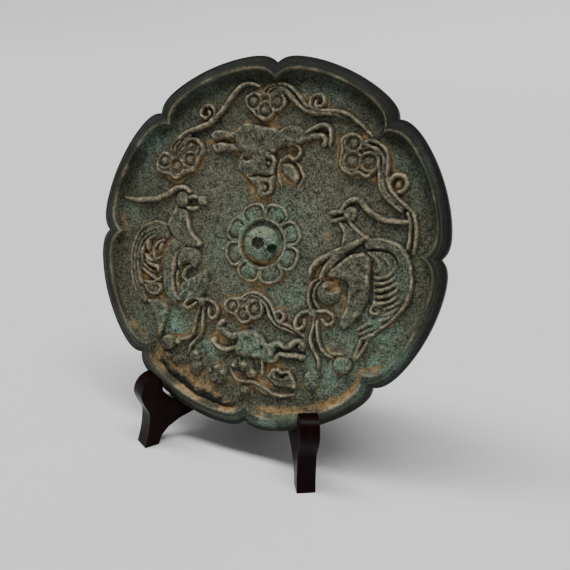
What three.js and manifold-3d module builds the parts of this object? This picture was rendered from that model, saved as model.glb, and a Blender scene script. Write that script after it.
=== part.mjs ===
// Ancient bronze mirror with eight lobes, resting on its two-panel wooden stand.
// Millimetres, +Z up, the mirror's carved face towards -Y.

import * as THREE from 'three';
import { mergeVertices } from 'three/addons/utils/BufferGeometryUtils.js';
import { ParametricGeometry } from 'three/addons/geometries/ParametricGeometry.js';
import Module from 'manifold-3d';

const wasm = await Module();
wasm.setup();

// Outline of the mirror
const notchRadius = 100;        // front edge of the rim at the bottom of each notch
const lobeRise = 5;             // how far a lobe stands out past the notches
const lobeCount = 8;
const notchSpread = 2.6;        // degrees over which a lobe's shoulder rounds off
const rimFace = 5.3;            // front of the rim along a lobe
const cuspDepth = 2.8;          // extra width of that front at a notch
const cuspSpread = 4;           // degrees over which that extra width fades

// Section of the mirror
const rimHeight = 4.9;          // rim above the sunken field
const fieldThickness = 3.3;
const innerWallRun = 1.6;       // slope of the rim's inner wall
const bevelRun = 2.3;           // outer part of the rim's front, sloping away
const bevelDrop = 1.8;
const rimOverhang = 1.3;        // outer wall past the front outline
const backCrown = 0.7;          // the plain back is slightly convex

// Rosette and knob
const knobRadius = 10;
const knobHeight = 8.4;
const cordHole = 4.8;
const cordHoleRise = 4.5;       // middle of the cord hole above the field
const cordTurn = -17;           // degrees from the mirror's own level line
const ringRadius = 14;
const petalInner = 16;
const petalOuter = 23;

// How the mirror stands
const leanAngle = 17.7;         // degrees back from upright
const rollAngle = 4.3;          // degrees turned in its own plane
const seatAngle = 24.5;         // each seat, degrees round the rim from the lowest point
const clearance = 0.3;

// Stand panels, in the plane of one panel: first the distance back from the toe, then the height
const panelThickness = 10.5;
const spreadAngle = 31.5;       // each panel turned from the front-to-back line
const seatBack = 17.5;          // front edge of the mirror's rim
const seatHeight = 31;
const footLength = 9;
const archSpan = 68;
const archHeight = 17;
const backHeight = 148;
const topWidth = 17;            // width of the panel's upper end
const prongHeight = 45;
const waistHeight = 18;
const edgeSteps = 5;            // facets along each curve of a panel's outline
const plateSteps = 14;          // facets along one lobe

const degrees = THREE.MathUtils.degToRad;
const carvingScale = notchRadius / 100;
const mirrorThickness = rimHeight + fieldThickness;

// The looks of the pieces
const bronze = new THREE.MeshStandardMaterial({ color: 0x54584a, roughness: 0.55, metalness: 0.75 });
const darkWood = new THREE.MeshStandardMaterial({ color: 0x3a1c16, roughness: 0.35, metalness: 0 });

// A closed geometry as a solid that can be joined and cut
function solidOf(geometry) {
    const plain = geometry.clone();
    plain.deleteAttribute('normal');
    plain.deleteAttribute('uv');
    const merged = mergeVertices(plain, 1e-4);
    const corners = merged.index.array;
    const faces = [];
    for (let i = 0; i < corners.length; i += 3) {
        const [a, b, c] = [corners[i], corners[i + 1], corners[i + 2]];
        if (a !== b && b !== c && c !== a) faces.push(a, b, c);
    }
    const mesh = new wasm.Mesh({
        numProp: 3,
        vertProperties: new Float32Array(merged.attributes.position.array),
        triVerts: new Uint32Array(faces),
    });
    return new wasm.Manifold(mesh);
}

// A solid back as a geometry
function geometryOf(solid) {
    const mesh = solid.getMesh();
    const geometry = new THREE.BufferGeometry();
    geometry.setAttribute('position', new THREE.BufferAttribute(mesh.vertProperties, 3));
    geometry.setIndex(new THREE.BufferAttribute(mesh.triVerts, 1));
    geometry.computeVertexNormals();
    return geometry;
}

// Degrees to the nearest notch, for an angle round the mirror in radians
function fromNotch(angle) {
    const lobe = 360 / lobeCount;
    const turn = THREE.MathUtils.euclideanModulo(THREE.MathUtils.radToDeg(angle), lobe);
    return Math.min(turn, lobe - turn);
}

// Front outline of the rim, where its bevel meets the outer wall
function outerRadius(angle) {
    return notchRadius + lobeRise * (1 - Math.exp(-fromNotch(angle) / notchSpread));
}

// Front inner edge of the rim, with a deeper cusp at each notch
function innerRadius(angle) {
    return outerRadius(angle) - rimFace - cuspDepth * Math.exp(-fromNotch(angle) / cuspSpread);
}

// Angles crowd together at the notches
function lobeAngle(share) {
    const place = share * lobeCount;
    const lobe = Math.min(Math.floor(place), lobeCount - 1);
    const within = (1 - Math.cos(Math.PI * (place - lobe))) / 2;
    return (lobe + within) * 2 * Math.PI / lobeCount;
}

// The plate with its rim, grown on every side by a clearance where something has to fit it
function plate(grown, stepsPerLobe) {
    const rows = [
        () => [0, grown - rimHeight],
        (angle) => [innerRadius(angle) - innerWallRun - grown, grown - rimHeight],
        (angle) => [innerRadius(angle) - grown, grown],
        (angle) => [outerRadius(angle) - bevelRun, grown],
        (angle) => [outerRadius(angle) + rimOverhang + grown, grown - bevelDrop],
        (angle) => [outerRadius(angle) + rimOverhang + grown, -0.85 * mirrorThickness],
        (angle) => [outerRadius(angle) + grown, -mirrorThickness - grown],
        () => [0.55 * notchRadius, -mirrorThickness - 0.75 * backCrown - grown],
        () => [0, -mirrorThickness - backCrown - grown],
    ];
    const surface = (around, across, target) => {
        const angle = lobeAngle(1 - around);
        const row = rows[Math.round(across * (rows.length - 1))];
        const [radius, height] = row(angle);
        target.set(radius * Math.cos(angle), radius * Math.sin(angle), height);
    };
    return new ParametricGeometry(surface, lobeCount * stepsPerLobe, rows.length - 1);
}

// A rounded ridge along a curve through a few points, pinched shut at both ends
function ridge(points, halfWidth, height, spacing = 5.5) {
    const places = points.map(([x, y]) => new THREE.Vector3(x, y, 0).multiplyScalar(carvingScale));
    const path = new THREE.CatmullRomCurve3(places);
    const steps = Math.max(4, Math.round(path.getLength() / (spacing * carvingScale)));
    const sunk = 0.2 * carvingScale;
    const surface = (around, along, target) => {
        const fullness = Math.sqrt(1 - Math.abs(2 * along - 1) ** 5);
        const forward = path.getTangentAt(along);
        const turn = 2 * Math.PI * around;
        const sideways = halfWidth * carvingScale * fullness * Math.cos(turn);
        const rise = Math.sin(turn) > 0 ? height * carvingScale + sunk : 1;
        path.getPointAt(along, target);
        target.x -= forward.y * sideways;
        target.y += forward.x * sideways;
        target.z = rise * fullness * Math.sin(turn) - rimHeight - sunk;
    };
    return new ParametricGeometry(surface, 6, steps);
}

// A low mound: a swelling body, a bud, a berry or a curl's head
function mound([x, y], [lengthwise, crosswise], turn, height) {
    const geometry = new THREE.SphereGeometry(1, 8, 4).rotateX(Math.PI / 2);
    geometry.scale(lengthwise * carvingScale, crosswise * carvingScale, height * carvingScale);
    geometry.rotateZ(degrees(turn));
    geometry.translate(x * carvingScale, y * carvingScale, -rimHeight - 0.15 * carvingScale);
    return flattened(geometry);
}

// Whatever lies under the field stays inside the plate
function flattened(geometry) {
    const place = geometry.attributes.position;
    for (let i = 0; i < place.count; i += 1) {
        place.setZ(i, Math.max(place.getZ(i), -rimHeight - 0.4 * fieldThickness));
    }
    return geometry;
}

// A bird with a plume, a ringed tail and ribbons; the right one is drawn a little narrower
function leftBird() {
    return [
        ridge([[-90, 20.3], [-80, 18.8], [-70, 20.8], [-61, 26], [-55, 28.5]], 1.9, 2.3),
        mound([-54, 22], [4.6, 6], 10, 3.4),
        ridge([[-52, 24], [-46, 24.8], [-40, 22.5]], 1.8, 2.2),
        mound([-41, 23], [3.4, 3.2], 0, 2.6),
        ridge([[-56, 18], [-60, 12], [-62.5, 6]], 2, 2.4),
        ridge([[-53, 16], [-49, 5], [-40, -2]], 2.6, 2.8),
        ridge([[-63, 8.5], [-75, 7], [-83, -1], [-86.5, -14], [-86, -28], [-81, -37], [-74, -41]], 2.2, 2.6),
        ridge([[-66, 3], [-75, 1.5], [-80.5, -9], [-80.5, -22], [-78, -32], [-73, -37]], 1.7, 2),
        ridge([[-62, -2], [-63.5, -15], [-61.5, -26], [-57, -34], [-52, -39]], 2.6, 3.1),
        ridge([[-50, -3], [-56, -12], [-57, -22], [-55, -31], [-51, -37]], 2, 2.8),
        mound([-48, -12], [5.5, 12], -8, 3.4),
        mound([-40, -25], [6.5, 7.5], 0, 3.2),
        ...[-6, -13, -20, -27].map((y) => ridge([[-76, y - 1], [-71, y + 1.5], [-66, y - 1]], 1.7, 2)),
        mound([-69, -34], [4.4, 4], 0, 2.4),
        mound([-37, -38], [3, 3.2], 0, 3),
        ridge([[-39, -37], [-44, -35.8], [-49.5, -39], [-45, -42.5], [-39, -40]], 1.3, 2, 3.2),
        ridge([[-35, -37], [-30, -34.8], [-25.5, -39], [-26.5, -45], [-31, -42.5], [-35, -39]], 1.3, 2, 3.2),
        ridge([[-38.5, -41], [-38, -51], [-41, -58], [-50, -61.5]], 1.6, 2),
        mound([-55, -63], [5, 4.6], 0, 2.8),
        ridge([[-35, -41], [-34.3, -51], [-36.5, -59], [-40.5, -67]], 1.6, 2),
        mound([-37.5, -73], [4.4, 7.4], 12, 2.6),
        ridge([[-74, -41.5], [-65, -43], [-61.3, -50], [-62, -58], [-64.5, -65]], 1.9, 2.2),
    ];
}

function rightBird() {
    return [
        ridge([[44, 22.5], [51, 27.5], [60, 22], [70, 18], [82, 18.4]], 1.9, 2.3),
        mound([49, 20], [4.6, 5.4], 0, 3.4),
        ridge([[46, 21], [41, 20.5], [37.5, 16]], 1.8, 2.2),
        mound([38.5, 17], [3, 3], 0, 2.6),
        ridge([[50, 15], [55, 10.5], [61, 8]], 2, 2.4),
        ridge([[48, 14], [48, 2], [39, -4], [31, -10], [30, -16]], 2.6, 2.8),
        ridge([[60, 8], [69, 9], [78, 5], [85, -5], [87, -18], [84, -29], [77, -37]], 2.2, 2.6),
        ridge([[63, 4], [72, 3.5], [79, -5], [81, -17], [79, -27], [74, -34]], 1.7, 2),
        ridge([[57, -3], [62.5, -14], [62.5, -25], [58, -35], [51, -42]], 2.8, 3.1),
        ridge([[50, -3], [55, -13], [55, -24], [52, -33]], 1.9, 2.8),
        mound([47, -11], [6, 11], 8, 3.4),
        mound([39, -24], [6.8, 7], 0, 3.2),
        ...[-6, -13, -20, -27].map((y) => ridge([[66, y - 1], [71, y + 1.5], [77, y - 1]], 1.7, 2)),
        mound([70, -34], [4.4, 4], 0, 2.4),
        mound([34.5, -37.5], [3, 3.2], 0, 3),
        ridge([[33, -36], [28, -35.5], [24.5, -40], [27, -44], [33, -39]], 1.3, 2, 3.2),
        ridge([[36, -36.5], [41, -34.8], [46, -38], [42, -41], [36.5, -39]], 1.3, 2, 3.2),
        ridge([[34, -40], [34, -49], [37, -58], [39.8, -67]], 1.6, 2),
        mound([36.8, -73], [4.4, 7], -8, 2.6),
        ridge([[37, -41], [37.5, -50], [42, -57], [48, -61.5]], 1.6, 2),
        mound([52.5, -63], [5.2, 5], 0, 2.8),
        ridge([[77, -37], [70, -42], [62.5, -43], [60, -50], [58, -59]], 1.9, 2.2),
    ];
}

// A winged beast over the rosette and a running one under it
function upperBeast() {
    return [
        ridge([[-39, 59], [-29, 61.7], [-19, 62]], 2, 2.4),
        ridge([[-39, 53], [-30, 52], [-19, 55]], 2, 2.4),
        mound([-8, 60], [14, 7.6], 0, 3.8),
        mound([11, 62], [9, 7.6], 0, 3.6),
        ridge([[18, 65], [27, 68], [33, 66], [32, 57]], 1.9, 2.4),
        ridge([[18, 60.5], [25, 60.5], [33, 56]], 1.9, 2.4),
        ridge([[4, 52], [12, 54.5], [18.5, 54], [18, 49], [10, 47.5]], 1.8, 2.4),
        mound([16.5, 41], [9, 3.4], -44, 2.6),
        mound([-8.5, 46], [9.5, 8], -20, 3.6),
        mound([-6, 35], [6, 8], 0, 3),
        mound([-15, 46], [3, 3], 0, 4),
        mound([-1, 44], [3, 3], 0, 4),
    ];
}

function lowerBeast() {
    return [
        ridge([[-24, -48], [-18, -53.5], [-12, -55], [-6, -53]], 2, 2.4),
        ridge([[-27, -57.5], [-21, -61.5], [-12, -61]], 2, 2.4),
        mound([1, -57.5], [15, 7.6], 0, 3.8),
        ridge([[12, -56.5], [20, -58], [25, -54], [30, -55.3]], 1.9, 2.4),
        ridge([[13, -63], [19, -60.8], [30, -60.5]], 1.9, 2.4),
        mound([-12, -69], [6, 5], 20, 3),
        mound([-4, -70], [5, 6.5], 0, 2.8),
        ridge([[4, -65], [6, -69], [7, -73.5]], 1.7, 2.2),
        mound([19, -74.5], [9.5, 3.8], -22, 2.6),
        mound([-21, -79], [7.5, 7.2], 0, 2.8),
        mound([-4, -84], [3, 3], 0, 2),
        ridge([[-16, -75.5], [-9, -79.5], [0, -80], [10, -83.5], [21, -85]], 1.4, 1.6),
    ];
}

// Cloud scrolls: a head of small curls on a long stem
function cloud(stem, curls, curlRadius) {
    return [
        ridge(stem, 2, 2.2),
        ...curls.map((place) => mound(place, [curlRadius, curlRadius], 0, 2.6)),
    ];
}

function clouds() {
    const arches = [
        ridge([[-13, 77], [-9, 84], [-2, 88], [6, 87]], 1.8, 2.2),
        ridge([[46, 55], [53, 59], [61, 59], [67, 53], [68, 46]], 1.8, 2.2),
        ridge([[-13, -39], [-9, -31], [-1, -28], [6, -33]], 1.8, 2.2),
        ridge([[-7, -40], [-2, -34.5], [4, -39]], 1.5, 2),
    ];
    const upperLeft = [[-11, 89], [-20, 90], [-28, 84], [-36, 74], [-47, 67], [-58, 61.5], [-62.5, 50]];
    const upper = [[4, 89], [11, 83], [20, 75.5], [33, 76], [43, 74.5], [51, 69], [59, 62]];
    const right = [[66, 43], [69, 34], [77, 26.5], [84, 20], [86, 11], [86, 2]];
    const lower = [[5, -33], [9.5, -40], [20, -45], [31, -50]];
    return [
        ...arches,
        ...cloud(upperLeft, [[-50.5, 54], [-51, 46], [-59.5, 40.5], [-68.5, 46], [-42.5, 75]], 4.6),
        ...cloud(upper, [[-14, 81], [-5, 75], [2, 80], [25, 80.5]], 4.6),
        ...cloud(right, [[46, 59], [48.5, 49], [58, 48.5], [75, 38]], 4.8),
        ...cloud(lower, [[-16, -37], [-9, -42], [-1, -40.5], [13.5, -41]], 3.9),
    ];
}

// Eight petals round a raised ring and the pierced knob
function rosette() {
    const pieces = [];
    const ring = new THREE.TorusGeometry(ringRadius, 1.2, 6, 40);
    ring.translate(0, 0, -rimHeight + 0.2);
    pieces.push(ring);
    for (let petal = 0; petal < lobeCount; petal += 1) {
        const petalMiddle = (petal + 0.5) * 360 / lobeCount;
        const place = (turn, radius) => {
            const angle = degrees(petalMiddle + turn);
            return [radius * Math.cos(angle) / carvingScale, radius * Math.sin(angle) / carvingScale];
        };
        const shoulder = 0.25 * petalInner + 0.75 * petalOuter;
        const outline = [
            place(-19, petalInner), place(-16.5, shoulder), place(-7, petalOuter),
            place(7, petalOuter), place(16.5, shoulder), place(19, petalInner),
        ];
        pieces.push(ridge(outline, 1.2 / carvingScale, 1.9, 2.2));
    }
    const knob = new THREE.SphereGeometry(1, 24, 10).rotateX(Math.PI / 2);
    knob.scale(knobRadius, knobRadius, knobHeight);
    knob.translate(0, 0, -rimHeight - 0.1);
    pieces.push(flattened(knob));
    return pieces;
}

// The mirror: plate, carving and knob in one casting
function mirrorSolid() {
    let casting = solidOf(plate(0, plateSteps));
    const carving = [...rosette(), ...leftBird(), ...rightBird(), ...upperBeast(), ...lowerBeast(), ...clouds()];
    for (const piece of carving) casting = casting.add(solidOf(piece));
    const cord = new THREE.CylinderGeometry(cordHole / 2, cordHole / 2, 2.4 * knobRadius, 12);
    cord.rotateZ(Math.PI / 2 + degrees(cordTurn)).translate(0, 0, cordHoleRise - rimHeight);
    return casting.subtract(solidOf(cord));
}

// Side outline of one stand panel: foot, arch, back, backrest, seat and curled prong
function panelShape(rear) {
    const restSlope = Math.cos(degrees(spreadAngle)) / Math.tan(degrees(leanAngle));
    const size = prongHeight / 45;  // the prong's curves keep their proportions
    const restFoot = seatBack + 7.5 * size;
    const floor = seatHeight - 5.5 * size;
    const prongTip = seatBack - 10 * size;
    const restTop = restFoot + (backHeight - topWidth / 2 - floor) / restSlope;
    const rearEdge = Math.max(rear, footLength + archSpan + footLength);
    const shape = new THREE.Shape();
    shape.moveTo(0, 0);
    shape.lineTo(footLength, 0);
    shape.absellipse(footLength + archSpan / 2, 0, archSpan / 2, archHeight, Math.PI, 0, true);
    shape.lineTo(rearEdge, 0);
    shape.lineTo(rearEdge, backHeight - topWidth / 2);
    shape.quadraticCurveTo(restTop + topWidth, backHeight, restTop + topWidth / 2, backHeight);
    shape.quadraticCurveTo(restTop + size, backHeight, restTop, backHeight - topWidth / 2);
    shape.lineTo(restFoot, floor);
    shape.splineThru([
        new THREE.Vector2(seatBack + 3 * size, floor + 0.2 * size),
        new THREE.Vector2(seatBack - 2 * size, seatHeight),
        new THREE.Vector2(seatBack - 5.3 * size, seatHeight + 4.5 * size),
        new THREE.Vector2(seatBack - 5.3 * size, prongHeight - 5 * size),
        new THREE.Vector2(seatBack - 7.4 * size, prongHeight - 0.9 * size),
        new THREE.Vector2(prongTip, prongHeight),
        new THREE.Vector2(3 * size, prongHeight - 1.7 * size),
        new THREE.Vector2(-0.2 * size, prongHeight - 5.5 * size),
        new THREE.Vector2(-1.5 * size, prongHeight - 10.5 * size),
        new THREE.Vector2(0, prongHeight - 16 * size),
        new THREE.Vector2(3 * size, waistHeight + 5 * size),
        new THREE.Vector2(3.4 * size, waistHeight),
        new THREE.Vector2(2.3 * size, waistHeight / 2),
        new THREE.Vector2(0, 0),
    ]);
    return shape;
}

// Where the mirror's middle and the panels' toes stand
const seatReach = notchRadius + lobeRise;
const lean = degrees(leanAngle);
const seatDrop = seatReach * Math.cos(degrees(seatAngle));
const middleHeight = seatHeight + seatDrop * Math.cos(lean);
const spread = degrees(spreadAngle);
const toeAside = seatReach * Math.sin(degrees(seatAngle)) + seatBack * Math.sin(spread);
const toeForward = seatDrop * Math.sin(lean) + seatBack * Math.cos(spread);
const meeting = toeAside / Math.sin(spread);

// The mirror leans back and is turned a little in its own plane
const leaning = new THREE.Group();
leaning.position.set(0, 0, middleHeight);
leaning.rotation.set(Math.PI / 2 - lean, 0, 0);
const mirror = new THREE.Mesh(geometryOf(mirrorSolid()), bronze);
mirror.name = 'mirror';
mirror.rotation.set(0, 0, degrees(rollAngle));
leaning.add(mirror);
leaning.updateMatrixWorld(true);

// One panel of the stand, mirrored by its side, with a seat cut to the mirror's rim
function standPanel(side, name) {
    const holder = new THREE.Group();
    holder.position.set(side * toeAside, -toeForward, 0);
    holder.rotation.set(0, 0, Math.PI / 2 + side * spread);
    const panel = new THREE.Mesh(new THREE.BufferGeometry(), darkWood);
    panel.name = name;
    panel.rotation.set(Math.PI / 2, 0, 0);
    holder.add(panel);
    holder.updateMatrixWorld(true);
    const toPanel = panel.matrixWorld.clone().invert();

    const options = { depth: panelThickness, bevelEnabled: false, curveSegments: edgeSteps };
    const blank = new THREE.ExtrudeGeometry(panelShape(meeting + panelThickness), options);
    blank.translate(0, 0, -panelThickness / 2);

    const room = plate(clearance, plateSteps).applyMatrix4(mirror.matrixWorld).applyMatrix4(toPanel);
    const far = 4 * meeting;
    const otherHalf = new THREE.BoxGeometry(far, far, far);
    otherHalf.translate(side * (clearance / 2 - far / 2), 0, 0);
    otherHalf.applyMatrix4(toPanel);
    const cut = solidOf(blank).subtract(solidOf(room)).subtract(solidOf(otherHalf));
    panel.geometry = geometryOf(cut);
    return holder;
}

// The whole object stands with its footprint's middle at the origin
const object = new THREE.Group();
object.add(leaning);
object.add(standPanel(-1, 'stand_left_panel'));
object.add(standPanel(1, 'stand_right_panel'));
const footprint = new THREE.Box3().setFromObject(object, true);
const middle = footprint.getCenter(new THREE.Vector3());
object.position.set(-middle.x, -middle.y, -footprint.min.z);

const group = new THREE.Group();
group.add(object);
export default group;
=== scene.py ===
# Ancient bronze mirror with eight lobes on its wooden stand: the looks.
# Metres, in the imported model's frame. The carving is drawn in millimetres on the mirror's face.

import math

import bpy
import numpy as np
from mathutils import Matrix, Vector


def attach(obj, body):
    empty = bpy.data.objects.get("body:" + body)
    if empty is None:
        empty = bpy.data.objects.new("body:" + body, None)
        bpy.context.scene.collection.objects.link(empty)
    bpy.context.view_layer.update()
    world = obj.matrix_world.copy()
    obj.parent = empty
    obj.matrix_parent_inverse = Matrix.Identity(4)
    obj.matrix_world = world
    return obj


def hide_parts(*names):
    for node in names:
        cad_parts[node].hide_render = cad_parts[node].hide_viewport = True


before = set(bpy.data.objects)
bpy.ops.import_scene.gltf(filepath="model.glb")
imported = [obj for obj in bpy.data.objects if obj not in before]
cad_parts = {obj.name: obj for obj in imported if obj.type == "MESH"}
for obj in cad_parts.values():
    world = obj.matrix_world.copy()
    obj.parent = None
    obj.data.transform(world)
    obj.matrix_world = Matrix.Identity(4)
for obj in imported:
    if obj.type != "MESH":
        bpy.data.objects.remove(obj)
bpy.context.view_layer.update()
MM = 0.001

# Outline and section of the mirror, in millimetres
NOTCH_RADIUS = 100.0
LOBE_RISE = 5.0
LOBES = 8
NOTCH_SPREAD = 2.6
RIM_FACE = 5.3
CUSP_DEPTH = 2.8
CUSP_SPREAD = 4.0
RIM_HEIGHT = 4.9
FIELD_THICKNESS = 3.3
RIM_OVERHANG = 1.3
BACK_CROWN = 0.7
WALL_RUN = 2.6

# Rosette and knob
KNOB_RADIUS = 10.0
KNOB_HEIGHT = 8.4
KNOB_ROOT = 1.2
PIT_RADIUS = 3.7
PIT_DEPTH = 0.9
CORD_HOLE = 4.8
CORD_HOLE_RISE = 4.5
CORD_TURN = math.radians(-17)
RING_RADIUS = 14.0
PETAL_MIDDLE = 18.0
PETAL_HALF = 5.4
PETAL_OUTER = 23.0
PETAL_POWER = 2.3

# How the mirror stands
LEAN = math.radians(17.7)
ROLL = math.radians(4.3)
MIDDLE = Vector((0.0, -0.001908, 0.122023))

# Fineness of the carved face
FIELD_RINGS = 126
WOBBLES = 60
KNOB_STEPS = 72
HOLE_STEPS = 32
GRID_STEP = 0.4
GRID_REACH = 108.0
FLOOR_STEPS = 96
SHARP_EDGE = math.radians(70)

# How uneven the old casting is, in millimetres: height, reach and seed of each layer of its skin
LINE_WANDER = 0.11
SKIN = ((0.075, 0.5, 3), (0.09, 1.3, 4), (0.09, 6, 5))

# The eaten strip along the wall, in degrees round the mirror and in millimetres
EATEN_MIDDLE = -112.0
EATEN_SPREAD = 17.5
EATEN_FROM_WALL = 1.9
EATEN_HALF_WIDTH = 2.0
EATEN_RISE = 1.4

# The camera looks down at the carved face from its right
CAMERA_OFFSET = Vector((0.1634, -0.3635, 0.1277))
CAMERA_HEADING = math.radians(22.0)
CAMERA_PITCH = math.radians(20.9)
CAMERA_ROLL = math.radians(2.8)
CAMERA_LENS = 46.9

# Studio, in metres
FLOOR_REACH = 3.0
WALL_BEND = 1.5
WALL_HEIGHT = 3.0
WINDOW_SPREAD = (-0.75, -0.45, -0.15, 0.15, 0.45)
WINDOW_TILT = 0.17
WINDOW_STRENGTH = 0.84
WINDOW_SOFTNESS = math.radians(17)
SKY_STRENGTH = 0.09

# The panels' eased corners, in metres
EASED_EDGE = 0.0007
SAME_PLACE = 0.00001


def make_camera():
    data = bpy.data.cameras.new("camera")
    data.lens = CAMERA_LENS
    data.sensor_width = 36.0
    data.clip_start = 0.01
    camera = bpy.data.objects.new("camera", data)
    bpy.context.collection.objects.link(camera)
    heading = Matrix.Rotation(CAMERA_HEADING, 4, "Z")
    pitch = Matrix.Rotation(math.pi / 2 - CAMERA_PITCH, 4, "X")
    roll = Matrix.Rotation(CAMERA_ROLL, 4, "Z")
    place = Matrix.Translation(MIDDLE + CAMERA_OFFSET)
    camera.matrix_world = place @ heading @ pitch @ roll
    bpy.context.scene.camera = camera


make_camera()


# Outline of the mirror

def from_notch(angle):
    """Degrees to the nearest notch."""
    lobe = 360.0 / LOBES
    turn = np.mod(np.degrees(angle), lobe)
    return np.minimum(turn, lobe - turn)


def outer_radius(angle):
    return NOTCH_RADIUS + LOBE_RISE * (1 - np.exp(-from_notch(angle) / NOTCH_SPREAD))


def inner_radius(angle):
    return outer_radius(angle) - RIM_FACE - CUSP_DEPTH * np.exp(-from_notch(angle) / CUSP_SPREAD)


# A raster of heights over the field, on which each motif is drawn

def blurred(values, reach):
    """Gaussian blur, reach in millimetres."""
    sigma = reach / GRID_STEP
    half = max(1, int(3 * sigma))
    weights = np.exp(-0.5 * (np.arange(-half, half + 1) / sigma) ** 2)
    weights /= weights.sum()
    shifts = range(-half, half + 1)
    smooth = np.pad(values, half, mode="edge")
    for axis in (0, 1):
        smooth = sum(weight * np.roll(smooth, shift, axis) for shift, weight in zip(shifts, weights))
    return smooth[half:-half, half:-half]


def noise(shape, reach, seed):
    """Smooth noise of about unit spread, its lumps reach millimetres across."""
    rough = np.random.default_rng(seed).normal(size=shape)
    smooth = blurred(rough, reach)
    return smooth / smooth.std()


def smooth_path(points, spacing=0.7):
    """Catmull-Rom curve through the points, resampled evenly."""
    knots = np.array(points, float)
    ends = [2 * knots[0] - knots[1], *knots, 2 * knots[-1] - knots[-2]]
    places = []
    for before, start, end, after in zip(ends, ends[1:], ends[2:], ends[3:]):
        steps = max(2, int(np.hypot(*(end - start)) / spacing))
        share = np.linspace(0, 1, steps, endpoint=False)[:, None]
        places.append(0.5 * (
            2 * start
            + (end - before) * share
            + (2 * before - 5 * start + 4 * end - after) * share ** 2
            + (3 * start - before - 3 * end + after) * share ** 3
        ))
    return np.vstack([*places, knots[-1:]])


def to_segment(x, y, start, end):
    """How far places lie from a segment, and how far along it."""
    length = max(np.hypot(*(end - start)), 1e-9)
    way = (end - start) / length
    dx, dy = x - start[0], y - start[1]
    run = np.clip(dx * way[0] + dy * way[1], 0, length)
    return np.hypot(dx - run * way[0], dy - run * way[1]), run


def rounded(share, power=0.4):
    """A rounded section: 1 in the middle, 0 from share 1 outwards."""
    return np.clip(1 - share ** 2, 0, 1) ** power


def ramped(value, start, run):
    """From 0 at start to 1 one run further on."""
    return np.clip((value - start) / run, 0, 1)


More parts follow.
